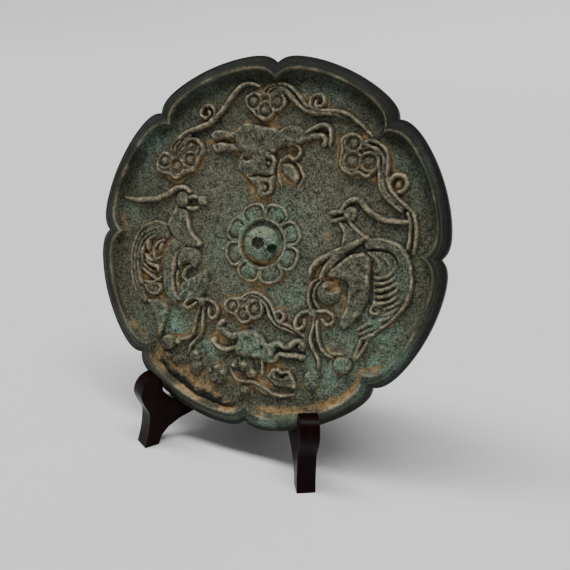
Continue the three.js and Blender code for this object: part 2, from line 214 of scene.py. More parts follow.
class Relief:
    """Heights over the sunken field, in millimetres."""

    def __init__(self):
        self.axis = np.arange(-GRID_REACH, GRID_REACH + GRID_STEP, GRID_STEP)
        self.x, self.y = np.meshgrid(self.axis, self.axis)
        self.height = np.zeros_like(self.x)

    def window(self, points, margin):
        """The part of the raster within a margin of some points, and the places in it."""
        low = np.searchsorted(self.axis, np.min(points, axis=0) - margin)
        high = np.searchsorted(self.axis, np.max(points, axis=0) + margin)
        part = (slice(low[1], high[1] + 1), slice(low[0], high[0] + 1))
        return part, self.x[part], self.y[part]

    def raise_to(self, part, height, lumps=0.0):
        """Raise the part to a height, uneven by a share of it."""
        self.height[part] = np.maximum(self.height[part], height * (1 + lumps * LUMPS[part]))

    def band(self, points, half_width, ends):
        """How far across a tapered band each place lies, 1 at its side, and its swell there."""
        path = smooth_path(points)
        part, x, y = self.window(path, half_width + 1)
        nearest = np.full(x.shape, 1e9)
        along = np.zeros(x.shape)
        lengths = np.concatenate([[0], np.cumsum(np.hypot(*np.diff(path, axis=0).T))])
        for start, end, before in zip(path, path[1:], lengths):
            away, run = to_segment(x, y, start, end)
            closer = away < nearest
            nearest[closer] = away[closer]
            along[closer] = (before + run[closer]) / lengths[-1]
        swell = np.ones(x.shape)
        for from_end, share in ((along, ends[0]), (1 - along, ends[1])):
            swell *= share + (1 - share) * np.sin(ramped(from_end, 0, 0.3) * math.pi / 2)
        return part, nearest / (half_width * swell), np.sqrt(swell)

    def ridge(self, points, half_width, height, ends=(0.4, 0.4), edge=0.42, lumps=0.0):
        """A rounded band along a curve, narrower and lower at its ends."""
        part, across, swell = self.band(points, half_width, ends)
        self.raise_to(part, height * swell * rounded(across, edge), lumps)

    def ridges(self, lines, half_width, height, ends=(0.4, 0.4)):
        for line in lines:
            self.ridge(line, half_width, height, ends)

    def groove(self, points, half_width, depth, ends=(0.4, 0.4)):
        """A line cut into what is already raised."""
        part, across, swell = self.band(points, half_width, ends)
        self.height[part] = np.maximum(self.height[part] - depth * swell * rounded(across, 0.6), 0)

    def dome(self, x, y, rx, ry, height, turn=0.0, edge=0.42, lumps=0.0):
        """An oval mound, smooth or lumpy."""
        part, across, up = self.window([(x, y)], max(rx, ry) + 1)
        dx, dy = across - x, up - y
        cos, sin = math.cos(math.radians(turn)), math.sin(math.radians(turn))
        away = np.hypot((dx * cos + dy * sin) / rx, (dy * cos - dx * sin) / ry)
        self.raise_to(part, height * rounded(away, edge), lumps)

    def inside(self, points):
        """The part round a closed outline, what is inside it and how far each place is from it."""
        outline = smooth_path([*points, points[0]], 1.0)
        part, x, y = self.window(outline, 1)
        inside = np.zeros(x.shape, bool)
        nearest = np.full(x.shape, 1e9)
        for start, end in zip(outline, outline[1:]):
            nearest = np.minimum(nearest, to_segment(x, y, start, end)[0])
            straddles = (start[1] > y) != (end[1] > y)
            across, rise = end - start
            rise = rise if abs(rise) > 1e-9 else 1e-9
            inside ^= straddles & (x < start[0] + (y - start[1]) * across / rise)
        return part, inside, nearest

    def pillow(self, points, height, edge=1.8, lumps=0.0):
        """A raised area inside a closed outline, rounded off along it."""
        part, inside, nearest = self.inside(points)
        rise = ramped(nearest, 0, edge)
        self.raise_to(part, height * np.where(inside, np.sqrt(1 - (1 - rise) ** 2), 0), lumps)

    def tray(self, points, floor, lip, width=1.9):
        """A cloud's head: a low floor inside a thin raised lip."""
        part, inside, nearest = self.inside(points)
        wall = rounded(2 * nearest / width - 1)
        self.raise_to(part, np.where(inside, np.maximum(floor, lip * wall), 0))

    def beads(self, places, height, lip=3.3):
        """Round beads in hollows, each with a thin ring about it: middle, radius and the ring's."""
        for x, y, radius, ring in places:
            part, across, up = self.window([(x, y)], ring + 2)
            away = np.hypot(across - x, up - y)
            self.height[part] = np.where(away < ring, np.minimum(self.height[part], 1.5), self.height[part])
            self.raise_to(part, lip * rounded((away - ring) / 0.85))
            self.raise_to(part, height * rounded(away / radius))

    def curl(self, x, y, radius, height, start, turns, width=1.2, inner=0.3):
        """A spiral ridge winding inwards; positive turns wind anticlockwise."""
        share = np.linspace(0, 1, 14)
        angle = math.radians(start) + 2 * math.pi * turns * share
        reach = radius * (1 - (1 - inner) * share ** 1.3)
        points = np.column_stack([x + reach * np.cos(angle), y + reach * np.sin(angle)])
        self.ridge(points, width, height, (0.9, 0.7))

    def sampled(self, values, x, y):
        """A raster's value at each place."""
        column = np.clip((x + GRID_REACH) / GRID_STEP, 0, len(self.axis) - 1.001)
        row = np.clip((y + GRID_REACH) / GRID_STEP, 0, len(self.axis) - 1.001)
        c, r = column.astype(int), row.astype(int)
        u, v = column - c, row - r
        upper = values[r, c] * (1 - u) + values[r, c + 1] * u
        lower = values[r + 1, c] * (1 - u) + values[r + 1, c + 1] * u
        return upper * (1 - v) + lower * v


relief = Relief()
LUMPS = noise(relief.x.shape, 0.9, 7)


# The motifs, at their places on the face

def draw_left_bird(r):
    r.ridge([(-93, 20.3), (-86, 19.5), (-78.5, 20.2), (-72, 20.8), (-64.5, 23.8), (-58, 27.8),
        (-53, 28.6), (-49, 26.5)], 1.8, 3.2, (0.3, 0.8))
    r.dome(-53.2, 21.8, 4.4, 5.0, 3.8, 15)
    r.ridge([(-50, 22.5), (-46.5, 24), (-43, 23)], 1.1, 3.0)
    r.ridge([(-50.5, 17), (-46, 16.5), (-42, 18.5)], 1.4, 2.8)
    r.dome(-40, 21.8, 3.2, 2.9, 3.4, lumps=0.1)
    r.pillow([(-57.5, 17), (-50, 15.5), (-47.5, 11), (-46, 6), (-42.5, 0), (-38, -3.5), (-42, -6),
        (-50, -5), (-56, -2), (-61, 4), (-61.5, 8)], 2.4, 1.6, 0.11)
    r.ridge([(-57, 19), (-57.3, 12.5), (-61.5, 7)], 1.1, 3.3)
    r.ridge([(-53.5, 14), (-53, 9), (-54.5, 4)], 0.8, 3.1)
    r.ridge([(-49.5, 14), (-47.5, 7), (-44, 1), (-38.5, -3)], 1.3, 3.6)
    r.ridge([(-57, 7), (-52.5, 4.5), (-48, 1.5)], 1.1, 3.2)
    r.pillow([(-62.5, 6.5), (-67, 8), (-72, 7.2), (-77.5, 4.8), (-81.8, 0.5), (-84, -5), (-85.2, -14.5),
        (-84.8, -21.5), (-83.5, -28), (-81, -34), (-78, -38.5), (-73.5, -42), (-71.5, -39), (-75, -34),
        (-76.5, -27), (-77, -18), (-75.8, -9), (-72, -2.5), (-65, -3), (-60, -1)], 1.9, 1.5, 0.04)
    r.ridges([
        [(-61, 5.5), (-67, 7.3), (-72, 6.4), (-77, 4), (-81, 0), (-83.3, -6), (-84.3, -14.5),
            (-83.8, -22), (-82.3, -29), (-79.5, -35), (-75, -40)],
        [(-64, 3.4), (-70.5, 3.4), (-76, 0.6), (-79.8, -3.5), (-81.7, -9), (-82, -15), (-81.4, -22),
            (-79.5, -29), (-76.5, -35)],
        [(-65, 0.6), (-71.5, 0.4), (-76, -2.5), (-78.7, -7), (-79.7, -13), (-79.5, -19), (-78, -25.5),
            (-75.5, -31)],
        [(-66.5, -1.7), (-71, -1.8), (-74.5, -4.4), (-76.5, -8.5), (-77.3, -14), (-76.8, -20)],
    ], 0.85, 3.2, (0.5, 0.5))
    r.ridge([(-73.6, -3.8), (-73.8, -10)], 1.2, 3.3, (0.7, 0.7))
    r.ridge([(-69.5, -9), (-67.5, -5.2), (-62.8, -2.8)], 1.0, 2.9)
    r.ridge([(-64, -5), (-65.6, -7.2), (-65.4, -10.5)], 1.2, 2.7)
    r.ridge([(-70.4, -8.5), (-69.6, -12.8), (-67.3, -15), (-64.6, -13.2)], 0.9, 2.8)
    r.ridge([(-75.8, -12.5), (-71.5, -15.6), (-66.5, -16.6)], 1.1, 3.0, (0.5, 0.5))
    r.ridge([(-75.2, -15.6), (-70.5, -18.6), (-66.3, -19.4), (-65.8, -22)], 1.4, 3.2, (0.5, 0.6))
    r.ridge([(-76.4, -18.2), (-72, -21.4), (-68, -22.6)], 0.8, 2.9, (0.5, 0.5))
    r.ridge([(-77, -21), (-73, -23.4), (-68.7, -25.6), (-65.2, -28.2)], 1.0, 3.1, (0.6, 0.5))
    r.ridge([(-74.8, -29), (-69.5, -29.2), (-65.5, -27.8), (-63.2, -25)], 0.9, 2.9)
    r.dome(-68, -32.4, 6.0, 3.5, 2.2, -10)
    r.ridge([(-73.8, -31), (-71, -34.6), (-67, -35.8), (-63.6, -34), (-62.6, -31.4), (-65, -29.8),
        (-69, -30.6), (-70.5, -32.4), (-67.5, -33.4)], 0.8, 3.2, (0.8, 0.6))
    r.pillow([(-72, -40), (-66, -38.6), (-61, -40), (-56.5, -43.5), (-58, -51.5), (-60.6, -59),
        (-61.6, -62), (-64.8, -51), (-68.5, -45)], 2.0, 1.4, 0.16)
    r.ridge([(-60.5, -40.5), (-58.8, -46), (-59.7, -53), (-61.8, -61.5)], 0.9, 2.8)
    r.ridge([(-67, -40.5), (-63.5, -46), (-63, -54)], 0.8, 2.5)

    r.pillow([(-55.5, -1.5), (-59.5, -3.5), (-60.8, -7), (-62, -13), (-62.4, -20), (-62, -26),
        (-60.6, -32), (-57.5, -37), (-52, -40.5), (-50.5, -37), (-53, -32), (-54.3, -25.5), (-54.3, -19),
        (-54, -14), (-52.5, -9), (-49.5, -5.5)], 3.4, 2.6)
    r.ridge([(-49, -5.5), (-53, -10), (-54.6, -15), (-54.9, -21), (-54.6, -27), (-53, -33), (-50, -37.5)],
        0.8, 4.0, (0.6, 0.6))
    r.pillow([(-50, -6.5), (-45.5, -5.6), (-41.5, -6.4), (-38.6, -9.5), (-38.6, -14.5), (-41.5, -18),
        (-44.5, -15.5), (-48.5, -15.8), (-51.8, -19), (-53.2, -15), (-52.6, -10.5)], 3.4, 2.0, 0.05)
    r.ridge([(-51.5, -13), (-48.5, -10), (-44.5, -9)], 0.8, 3.9)
    r.ridge([(-52.5, -20), (-52.3, -26), (-50.5, -32), (-47.5, -36)], 1.0, 2.6)
    r.ridge([(-43.6, -16.5), (-47, -19.2), (-48, -23.2), (-45.6, -26)], 1.0, 3.7, (0.6, 0.6))
    r.pillow([(-46.5, -25.5), (-41.5, -22.8), (-37.5, -20.2), (-34.2, -18), (-32, -23), (-32, -28),
        (-35, -34), (-40, -36), (-46, -37.5), (-51, -38), (-50.5, -31), (-49, -27)], 2.3, 1.6, 0.15)
    r.ridges([
        [(-35, -19), (-33.6, -24), (-35.6, -29.5), (-35.2, -33)],
        [(-38, -21.5), (-36.6, -25.5), (-39, -30)],
        [(-41.5, -23.5), (-40, -27), (-42.6, -30.5)],
        [(-45, -26.5), (-43.8, -29.5), (-46, -32.5)],
        [(-49, -29), (-47, -32.5), (-48.8, -36)],
        [(-38.5, -32), (-42, -33.5), (-44.5, -36)],
    ], 0.9, 3.6)
    draw_ribbon(r, -34.5, -37, [(-36, -36.2), (-39.5, -35.2), (-43.5, -36.2), (-46, -40), (-44, -41.8),
        (-40.8, -40), (-38.5, -38)], [(-32, -35.4), (-27, -36.6), (-24, -40), (-24.3, -43.4), (-27, -46),
        (-29.3, -44.4), (-29.6, -40.5)])
    r.ridge([(-36.3, -40), (-37.6, -47), (-38, -52), (-39, -56.5), (-42.5, -59.6), (-48.5, -61.2)], 1.0,
        2.9)
    r.ridge([(-34, -40), (-33.3, -47), (-32.8, -54), (-35.6, -59), (-39.6, -63.5), (-41, -70)], 1.0, 2.9)
    r.dome(-54.6, -63.6, 4.9, 4.7, 4.2, lumps=0.03)
    r.dome(-48.4, -62.2, 2.0, 2.4, 2.8)
    r.dome(-36.4, -69.5, 3.5, 4.0, 2.9, lumps=0.16)
    r.dome(-34.8, -76, 4.1, 4.4, 3.2, lumps=0.04)
    r.dome(-47, -73.5, 4.4, 3.2, 1.8, 20, 0.4, 0.22)
    r.dome(-53.5, -71.5, 3.2, 2.0, 1.3, -20, 0.4, 0.2)


def draw_right_bird(r):
    r.ridge([(45, 22.5), (47.8, 26.6), (51.5, 28.2), (55, 27.3), (58.5, 24), (62, 21.5), (66, 19.5),
        (70, 18.4), (75, 18), (82.5, 18)], 1.7, 3.3, (0.7, 0.8))
    r.dome(50, 20.4, 3.9, 4.4, 3.6, lumps=0.05)
    r.ridge([(47.5, 21.6), (42.5, 21), (37.5, 19.6)], 1.3, 2.7, (0.8, 0.4), lumps=0.12)
    r.ridge([(47.5, 17.8), (43, 16.6), (39, 15.2)], 1.2, 2.3, (0.8, 0.4), lumps=0.12)
    r.pillow([(45.5, 15.5), (50, 14.5), (60, 7.8), (53, 3), (48, 1.5), (48, 9.5)], 1.8, 1.2, 0.12)
    r.ridge([(49.5, 16), (55, 11.4), (61, 7.6)], 0.9, 3.1, (0.7, 0.7))
    r.ridge([(44.5, 15), (47.6, 10), (47.4, 2.5)], 0.9, 2.8, (0.7, 0.7))
    r.ridge([(48.5, 2), (41, -2.6), (34.5, -6.8), (31.3, -11), (30, -16)], 1.9, 3.5, (0.5, 0.6))
    r.pillow([(58, 0), (62, -1.5), (64, -7), (64.3, -14), (64.8, -22), (63, -28.5), (59, -35.8),
        (52.5, -42.5), (50.8, -40), (52.2, -34.5), (53.6, -29), (53.6, -23), (52, -17), (47, -15),
        (41, -14.5), (39, -11), (46, -3)], 3.2, 2.2, 0.11)
    r.groove([(60.5, 5.4), (56.5, 1.4), (51, -2.2), (45.5, -7), (40.5, -13)], 0.9, 2.8)
    r.ridge([(60.5, 8.2), (53.5, 4), (47.5, -0.4), (43, -5.2), (39.2, -10), (36.6, -15.8)], 2.1, 3.8,
        (0.6, 0.6))
    r.ridge([(53.8, -16.5), (53.8, -24), (53.6, -29), (52, -35), (50.4, -41)], 0.8, 3.3, (0.5, 0.8))
    r.dome(42, -23.6, 6.8, 6.6, 3.5, edge=0.4, lumps=0.1)
    r.groove([(42, -21.6), (44.6, -20.4), (47, -19.6)], 2.5, 2.6, (0.8, 0.8))
    r.ridge([(36, -16), (32, -19.6), (30.4, -25), (31.4, -31), (33.8, -36)], 0.9, 3.1)
    r.ridge([(38.5, -16), (34.4, -21), (33.8, -28), (37.5, -33.5)], 0.9, 2.9)

    r.pillow([(60.5, 8), (68, 8.3), (74.5, 7.4), (79.5, 5), (83.2, 1), (86, -5), (87.8, -12), (87.8, -18),
        (86.2, -24), (83, -30), (79.5, -34.5), (74.5, -39.5), (68.5, -44.5), (65.5, -50), (63.5, -46),
        (62.5, -41), (66, -33), (66, -19), (65, -7), (61, 0)], 1.5, 2.0, 0.05)
    r.ridge([(62, 4.6), (68, 5.2), (74.5, 4.2), (79.5, 1), (82.6, -5), (84, -12), (83.8, -19),
        (81.2, -26)], 3.6, 2.7, (0.8, 0.4), edge=0.4, lumps=0.05)
    r.ridge([(61, 7.4), (68, 7.8), (74.5, 7), (79.3, 4.4), (83, 0.2), (85.6, -6), (87, -13), (86.7, -19),
        (84.6, -26), (80.6, -32), (75, -38), (69, -43)], 0.9, 3.3, (0.6, 0.6))
    r.groove([(56, -0.5), (61, 1.2), (67.5, 2.2), (73.5, 1.4), (77.5, -2), (79.8, -8)], 0.8, 2.2)
    r.ridge([(62, 0), (66.6, -2.4), (69, -6.2), (67.5, -9.4), (65.8, -8)], 1.0, 3.1)
    r.ridge([(68, -0.8), (72, -2.4), (74.5, -6), (74, -9)], 1.0, 2.9)
    r.ridges([
        [(66.5, -12.5), (70, -12.6), (73.5, -11.4), (76.6, -8.6), (77, -6.2)],
        [(66.8, -16), (71, -15.6), (75, -13.8), (78.6, -10.4)],
        [(67.2, -19.6), (71.5, -19), (76, -17), (79.6, -13.6)],
        [(67.6, -23), (72.5, -22.4), (77.5, -20.2), (81.4, -16)],
        [(67.4, -26), (72, -26), (76.5, -24.6), (81.6, -20.4)],
        [(73.6, -29.4), (78, -27), (82.4, -23.4)],
        [(73.8, -32.8), (77.5, -30.4), (81.6, -27)],
        [(71, -35.6), (75.5, -33.8), (80, -30.8)],
    ], 1.1, 3.5, (0.6, 0.3))
    r.curl(69.2, -30.2, 3.3, 3.1, 40, 1.1, 0.9)
    r.groove([(64.6, -4), (65, -12), (65.8, -20), (65.4, -28), (62.5, -35)], 1.2, 3.4, (0.6, 0.5))
    r.ridges([
        [(60, -42), (64.5, -38.8), (69, -36.6)],
        [(61, -44.6), (66, -41.8), (72, -38.6)],
        [(61.6, -47.4), (65.5, -45), (71, -42)],
        [(63.6, -45.5), (61.6, -50.5), (60.6, -55), (59.2, -58.5)],
        [(66.4, -47.5), (64.6, -51.5), (62.2, -56), (59.4, -59)],
    ], 0.95, 2.9)
    draw_ribbon(r, 34, -36, [(32, -34.8), (27.4, -36.6), (24.4, -40.6), (24.6, -44.4), (27.4, -45.4),
        (29.4, -43), (29.4, -40)], [(36.8, -34.4), (41.5, -33.8), (45.6, -35.8), (46.2, -38.8), (44, -41),
        (41.6, -40.8), (39.6, -38.6)])
    r.ridge([(34.6, -38.5), (35, -44), (34, -50.5), (36, -55.5), (39.6, -61), (40, -66)], 1.0, 2.9)
    r.ridge([(36.6, -39), (37.6, -45.5), (39.4, -52), (43, -57), (48, -58.8)], 1.0, 2.9)
    r.ridge([(43.5, -53.5), (46.5, -56.6), (51, -56.4), (55, -56)], 0.9, 1.9)
    r.dome(53.6, -62.2, 5.2, 4.9, 4.2, lumps=0.07)
    r.dome(37, -72.6, 4.5, 6.6, 3.5, -10, lumps=0.12)


def draw_ribbon(r, x, y, left_loop, right_loop):
    r.ridge(left_loop, 1.1, 3.1, (0.9, 0.8))
    r.ridge(right_loop, 1.1, 3.1, (0.9, 0.8))
    r.dome(x, y, 2.6, 2.7, 3.6, edge=0.4, lumps=0.1)


def draw_upper_beast(r):
    r.pillow([(-38, 60.4), (-35, 63), (-29, 62.8), (-24, 62.4), (-18, 65), (-18, 60), (-28.5, 58),
        (-36, 57.6)], 3.4, 1.5)
    r.pillow([(-37, 54.4), (-32, 56), (-24.5, 55.4), (-17, 55), (-18, 52), (-27.5, 51), (-34.5, 50.2)],
        3.4, 1.5)
    r.pillow([(-23, 63), (-16.5, 67.4), (-6.5, 66), (4, 63.6), (4, 52.5), (-4, 49), (-14, 50), (-21, 53)],
        3.9, 2.0, 0.07)
    r.pillow([(3, 62.6), (8, 66.4), (14, 67), (19.5, 64.5), (21, 60), (17, 56.8), (9, 55.8), (3, 54)],
        3.9, 2.2, 0.06)
    for hair in range(6):
        r.groove([(-20 + 3.4 * hair, 62), (-18 + 3.4 * hair, 58.5), (-19 + 3.4 * hair, 55)], 0.55, 0.9)
    r.ridge([(19.5, 62.4), (24, 65.4), (29.5, 67.8), (33.6, 65.8), (35, 60.5), (34.6, 56.6)], 1.4, 3.3,
        (0.8, 0.6))
    r.ridge([(19.5, 60), (25, 61.6), (29.4, 61.4), (32.4, 59), (31, 57)], 1.9, 3.2, (0.8, 0.8))
    r.ridge([(2, 54), (7, 55.8), (13.5, 56.6), (17.4, 54.2), (17.8, 50.8), (15, 48.2), (10.5, 49.8),
        (7.8, 47.4)], 0.95, 3.1, (0.6, 0.7))
    r.pillow([(8, 45.4), (13.4, 45.6), (17.2, 42), (19, 37.6), (17.6, 35), (13.3, 37), (9.2, 40.6)], 3.2,
        1.6, 0.04)
    r.groove([(9.5, 43.5), (13.5, 41.5), (17, 37.5)], 0.5, 0.8)
    r.ridge([(13.5, 48), (18, 44.4), (21.2, 38.4), (18.4, 33)], 0.8, 2.3)
    r.pillow([(-19.4, 41.5), (-19, 47), (-16, 52), (-8, 52), (0, 52), (4, 47.5), (3.4, 41.5), (4, 32),
        (1.6, 27.6), (-2.4, 25.4), (-6, 28.4), (-9.5, 33.5), (-14.5, 37.6)], 2.9, 1.5, 0.05)
    r.dome(-12.4, 42.4, 5.2, 3.8, 3.8, -10)
    r.dome(-5.5, 46, 3.6, 5.0, 3.7)
    r.groove([(-16.6, 48.4), (-13.8, 47), (-10.6, 48)], 1.4, 1.9)
    r.ridge([(-16.8, 45.9), (-13.8, 44.9), (-11, 46.2)], 0.7, 4.1)
    r.ridge([(-17.4, 50.2), (-13, 51), (-9.4, 49)], 0.8, 3.9)
    r.groove([(-1.8, 47.4), (0.4, 45.4), (-0.6, 42.4)], 1.5, 1.9)
    r.dome(-0.2, 45.2, 1.1, 1.2, 3.2)
    r.ridge([(-3.4, 49), (1.2, 49.4), (3.2, 46), (2.6, 41)], 0.8, 3.9)
    r.groove([(-11, 37.2), (-6.6, 38.4), (-2, 37.6), (3.5, 39)], 1.2, 2.3)
    r.ridge([(-10.8, 36), (-6.8, 35.4), (-3.6, 32.4), (-4, 28)], 1.0, 3.9)
    r.groove([(-9, 33.4), (-6.6, 31.2), (-6, 28.8)], 1.0, 2.0)
    r.ridge([(-4.6, 36), (0, 35.8), (2.8, 32.6), (1.8, 28.8), (-1.6, 26.4)], 0.9, 3.9)
    r.groove([(-2.2, 34), (0.6, 33), (0.2, 30), (-1.8, 29)], 0.9, 2.4)
    r.ridge([(6.4, 49), (5.6, 41), (8.8, 32.6)], 0.8, 2.1)


def draw_lower_beast(r):
    r.ridge([(-20.4, -47), (-22.2, -50), (-18.6, -52.4), (-14.5, -54.6), (-10, -53.8), (-5, -52)], 2.2,
        3.5, (0.8, 1))
    r.dome(-24.8, -58.6, 2.1, 2.1, 3.3)
    r.ridge([(-24.2, -60), (-20.5, -62.4), (-16, -62.8), (-10, -60.6)], 1.4, 3.5, (0.9, 1))
    r.pillow([(-11, -61), (-10.4, -56.5), (-7.4, -52), (-3.6, -49.8), (1, -50), (5.4, -52.2), (9, -55.4),
        (12.4, -55), (14.6, -56), (14, -60.5), (13.4, -64), (9, -66.4), (4, -65.2), (-4, -66), (-9, -65)],
        4.0, 2.2, 0.07)
    r.groove([(-8.5, -56), (-5.6, -58), (-6, -62)], 0.6, 1.0)
    r.groove([(4, -54), (6, -58), (5, -62)], 0.6, 0.8)
    r.ridge([(10, -57), (16, -55.4), (20, -57), (24, -54), (27.4, -52.4), (30.4, -54.4)], 1.7, 3.4,
        (0.9, 0.7))
    r.ridge([(7.5, -65.6), (13.4, -65), (17, -61.2), (22, -61), (26, -60.6), (31, -60.8)], 1.6, 3.4,
        (0.8, 0.7))
    r.dome(29.4, -55.6, 2.4, 2.1, 3.3)
    r.dome(29.4, -61, 2.2, 1.9, 3.3)
    r.pillow([(-12.6, -71.6), (-10.5, -67), (-5, -64.6), (0, -66.5), (1.5, -71), (3.4, -74.6), (0.6, -77),
        (-3, -75.4), (-7, -73)], 1.9, 1.3, 0.16)
    r.dome(-4.2, -69.8, 3.0, 2.7, 3.9)
    r.dome(-10.6, -71, 1.8, 1.7, 3.5)
    r.dome(0.8, -74.4, 3.2, 2.7, 3.6, lumps=0.1)
    r.ridge([(-8.6, -66), (-6.8, -67.8), (-6.6, -71)], 0.8, 3.6)
    r.ridge([(5.8, -65), (7, -69), (7.2, -74)], 1.1, 2.7, (0.9, 0.6))
    r.pillow([(10.4, -74.4), (13.8, -70), (18, -70.6), (23, -71.2), (27.2, -75), (28.8, -79),
        (22.5, -79.4), (16, -79), (12.6, -77)], 3.0, 1.8, 0.07)
    r.groove([(15.6, -71.6), (18.6, -73.4), (22.4, -72)], 1.4, 2.4)
    r.ridge([(10.2, -75.6), (13, -71), (16.4, -70), (19, -71.4), (23.4, -70.8), (28, -76.6)], 0.8, 3.3)
    r.ridge([(-13, -73.4), (-11, -77), (-8.4, -79.2), (-4.5, -79.8), (1, -79.2), (5.4, -80), (10.5, -82),
        (15, -84), (21, -84.4), (27, -82.6)], 0.9, 2.6, (0.5, 0.4))
    r.pillow([(1, -80), (6, -80.6), (11, -83), (15.5, -85.4), (9, -85), (3.5, -82.6)], 2.0, 1.1, 0.1)
    r.dome(-20.6, -77.8, 6.5, 6.3, 3.2, edge=0.4, lumps=0.12)
    for turn in range(5):
        angle = math.radians(72 * turn + 20)
        r.dome(-20.6 + 3.9 * math.cos(angle), -77.8 + 3.9 * math.sin(angle), 1.9, 1.9, 3.9, 0, 0.4, 0.12)
    r.dome(-20.6, -77.8, 1.9, 1.9, 4.1, edge=0.4, lumps=0.12)
    r.dome(-2.6, -84.4, 2.9, 2.8, 2.9)


def draw_clouds(r):
    r.ridge([(-10.5, 88.6), (-17, 90), (-22.5, 87.4), (-28, 80.5), (-33, 73), (-38.5, 67.4), (-46.5, 64),
        (-54, 61), (-58.5, 57.5)], 1.6, 3.3, (0.3, 0.9))
    r.ridges([
        [(-54.5, 61), (-60, 57), (-63.2, 52.4), (-63.4, 47.6)],
        [(-53, 60), (-58, 56), (-61, 51.4), (-61.2, 46.8)],
        [(-51.5, 59.4), (-55.8, 55), (-58.4, 50.6), (-57.6, 47.6)],
    ], 0.8, 3.2, (0.8, 0.8))
    r.curl(-42.2, 72.4, 5.4, 3.3, -60, 1.35, 0.95, 0.22)
    r.tray([(-69, 49.5), (-72.4, 43.5), (-71.5, 37.8), (-68, 36), (-64, 35.6), (-58.5, 32.8), (-53, 36.6),
        (-46.5, 39.5), (-44.4, 44.5), (-41.2, 49.5), (-42.2, 54), (-46, 57.6), (-51.5, 57.4), (-55.5, 53),
        (-60.5, 46.6), (-64.5, 48)], 2.0, 3.6, 2.4)
    r.beads([(-50, 52.4, 3.0, 4.8), (-50, 45, 3.0, 4.5), (-58.6, 40.6, 3.1, 4.9), (-67, 43.6, 2.7, 4.4)],
        3.4)
    r.ridge([(-63.6, 52), (-62.4, 47.6), (-60.2, 46.2)], 0.7, 3.2)
    r.ridge([(-60.6, 53), (-59.6, 48), (-57, 47.4)], 0.7, 3.2)

    r.tray([(-18.4, 79.5), (-18.2, 82.4), (-14.5, 84.2), (-10.5, 83.4), (-8, 85), (-2, 83.6), (2, 84.4),
        (6, 82.4), (7, 79), (4.4, 75.2), (0.5, 74.6), (-1.4, 72), (-4.5, 69.6), (-7.4, 69.2), (-11.4, 72),
        (-15, 76)], 1.5, 3.4)
    r.beads([(-12.8, 79.6, 2.9, 4.5), (-4.8, 75, 3.0, 4.7), (1.6, 79.6, 2.9, 4.6)], 3.4)
    r.ridges([
        [(-7.8, 82.5), (-6.6, 86.6), (-2.5, 89.2), (2, 89.8), (6.4, 89), (11, 86), (15.4, 81.6),
            (19.5, 77.6), (26.5, 75.6), (33, 75.6), (42, 74.2), (50, 69.4), (57.5, 62.6)],
        [(-5.6, 82), (-4, 86), (-0.6, 87.6), (4.5, 87.2), (8.6, 84.6), (13.2, 80), (18, 75.6), (25, 73.8),
            (33, 74), (41, 72.4)],
        [(-3.6, 81.4), (-2.2, 84.4), (1.4, 85.8), (6, 84.8), (10.4, 81.2), (14.6, 77)],
    ], 1.1, 3.3, (0.7, 0.4))
    r.curl(25.8, 80, 5.0, 3.3, 235, -1.25, 1.15, 0.3)

    r.ridges([
        [(52, 58), (56.5, 60), (62.4, 58.6), (66.8, 54), (68.2, 48.5), (68.2, 42), (69.6, 36.6), (74, 31),
            (80, 26.4), (85.5, 22)],
        [(53, 55), (57, 56.8), (61.2, 55.8), (65, 52), (66.2, 46), (66, 40), (67.8, 34.6), (72.4, 29.4),
            (78.6, 25)],
        [(54.4, 52.6), (57.5, 53.8), (60.6, 52.4), (62.6, 49), (64, 43), (64.6, 37.5), (67, 32.4),
            (71.6, 27.8), (78, 23.4)],
    ], 1.15, 3.3, (0.7, 0.6))
    r.ridge([(84, 23), (86.2, 17), (86.8, 10), (86.4, 2)], 1.2, 3.0, (0.9, 0.6))
    r.ridge([(81, 23), (83.2, 17), (83.6, 10), (82.8, 3)], 1.1, 2.7, (0.8, 0.6))
    r.curl(75, 37.8, 5.2, 3.4, 215, -0.85, 1.25, 0.75)
    r.dome(74.6, 37.8, 1.8, 2.0, 1.6)
    r.tray([(41.4, 54), (40.4, 58.8), (42, 62), (46.5, 64.2), (50, 62.8), (52.2, 59.4), (57, 58.5),
        (62, 55), (64, 50), (62.4, 45.8), (60.4, 42), (56.5, 39.8), (52, 42), (48.5, 40.8), (43.2, 43.2),
        (40.8, 47.4)], 1.5, 3.4)
    r.beads([(48, 58.2, 2.9, 4.7), (48.4, 48.8, 3.0, 5.0), (57.6, 48.6, 3.0, 5.0)], 3.4)

    r.tray([(-20.4, -37.5), (-20, -35), (-17, -33.4), (-13, -32), (-9, -31.5), (-4, -31.6), (2, -33),
        (4.6, -37), (3.6, -40), (0.4, -43.6), (-3, -43.6), (-5, -45.4), (-8, -47), (-11, -44.6),
        (-14, -42.4), (-18.4, -41.4)], 1.4, 3.2)
    r.beads([(-14.8, -37.2, 2.6, 4.2), (-7, -41.2, 2.9, 4.5), (-0.6, -37.6, 2.8, 4.5)], 3.3)
    r.ridges([
        [(-10.6, -37), (-10.2, -32.8), (-6.6, -29.6), (-1, -28.2), (4.4, -30.2), (8.8, -34.4),
            (11.4, -39), (14.5, -43), (20, -44.6), (25, -46.4), (30, -49)],
        [(-8.6, -35.4), (-6.6, -31.8), (-2.5, -30.2), (2.2, -31.4), (6.2, -35), (8.4, -40), (12, -44),
            (18, -46.4), (24, -48)],
        [(-7, -36), (-4.6, -33.4), (-1.4, -32.2), (2.6, -33.8), (5, -38)],
    ], 1.0, 3.1, (0.7, 0.5))
    r.curl(14.4, -40.4, 3.5, 3.1, 150, -1.1, 1.0, 0.35)


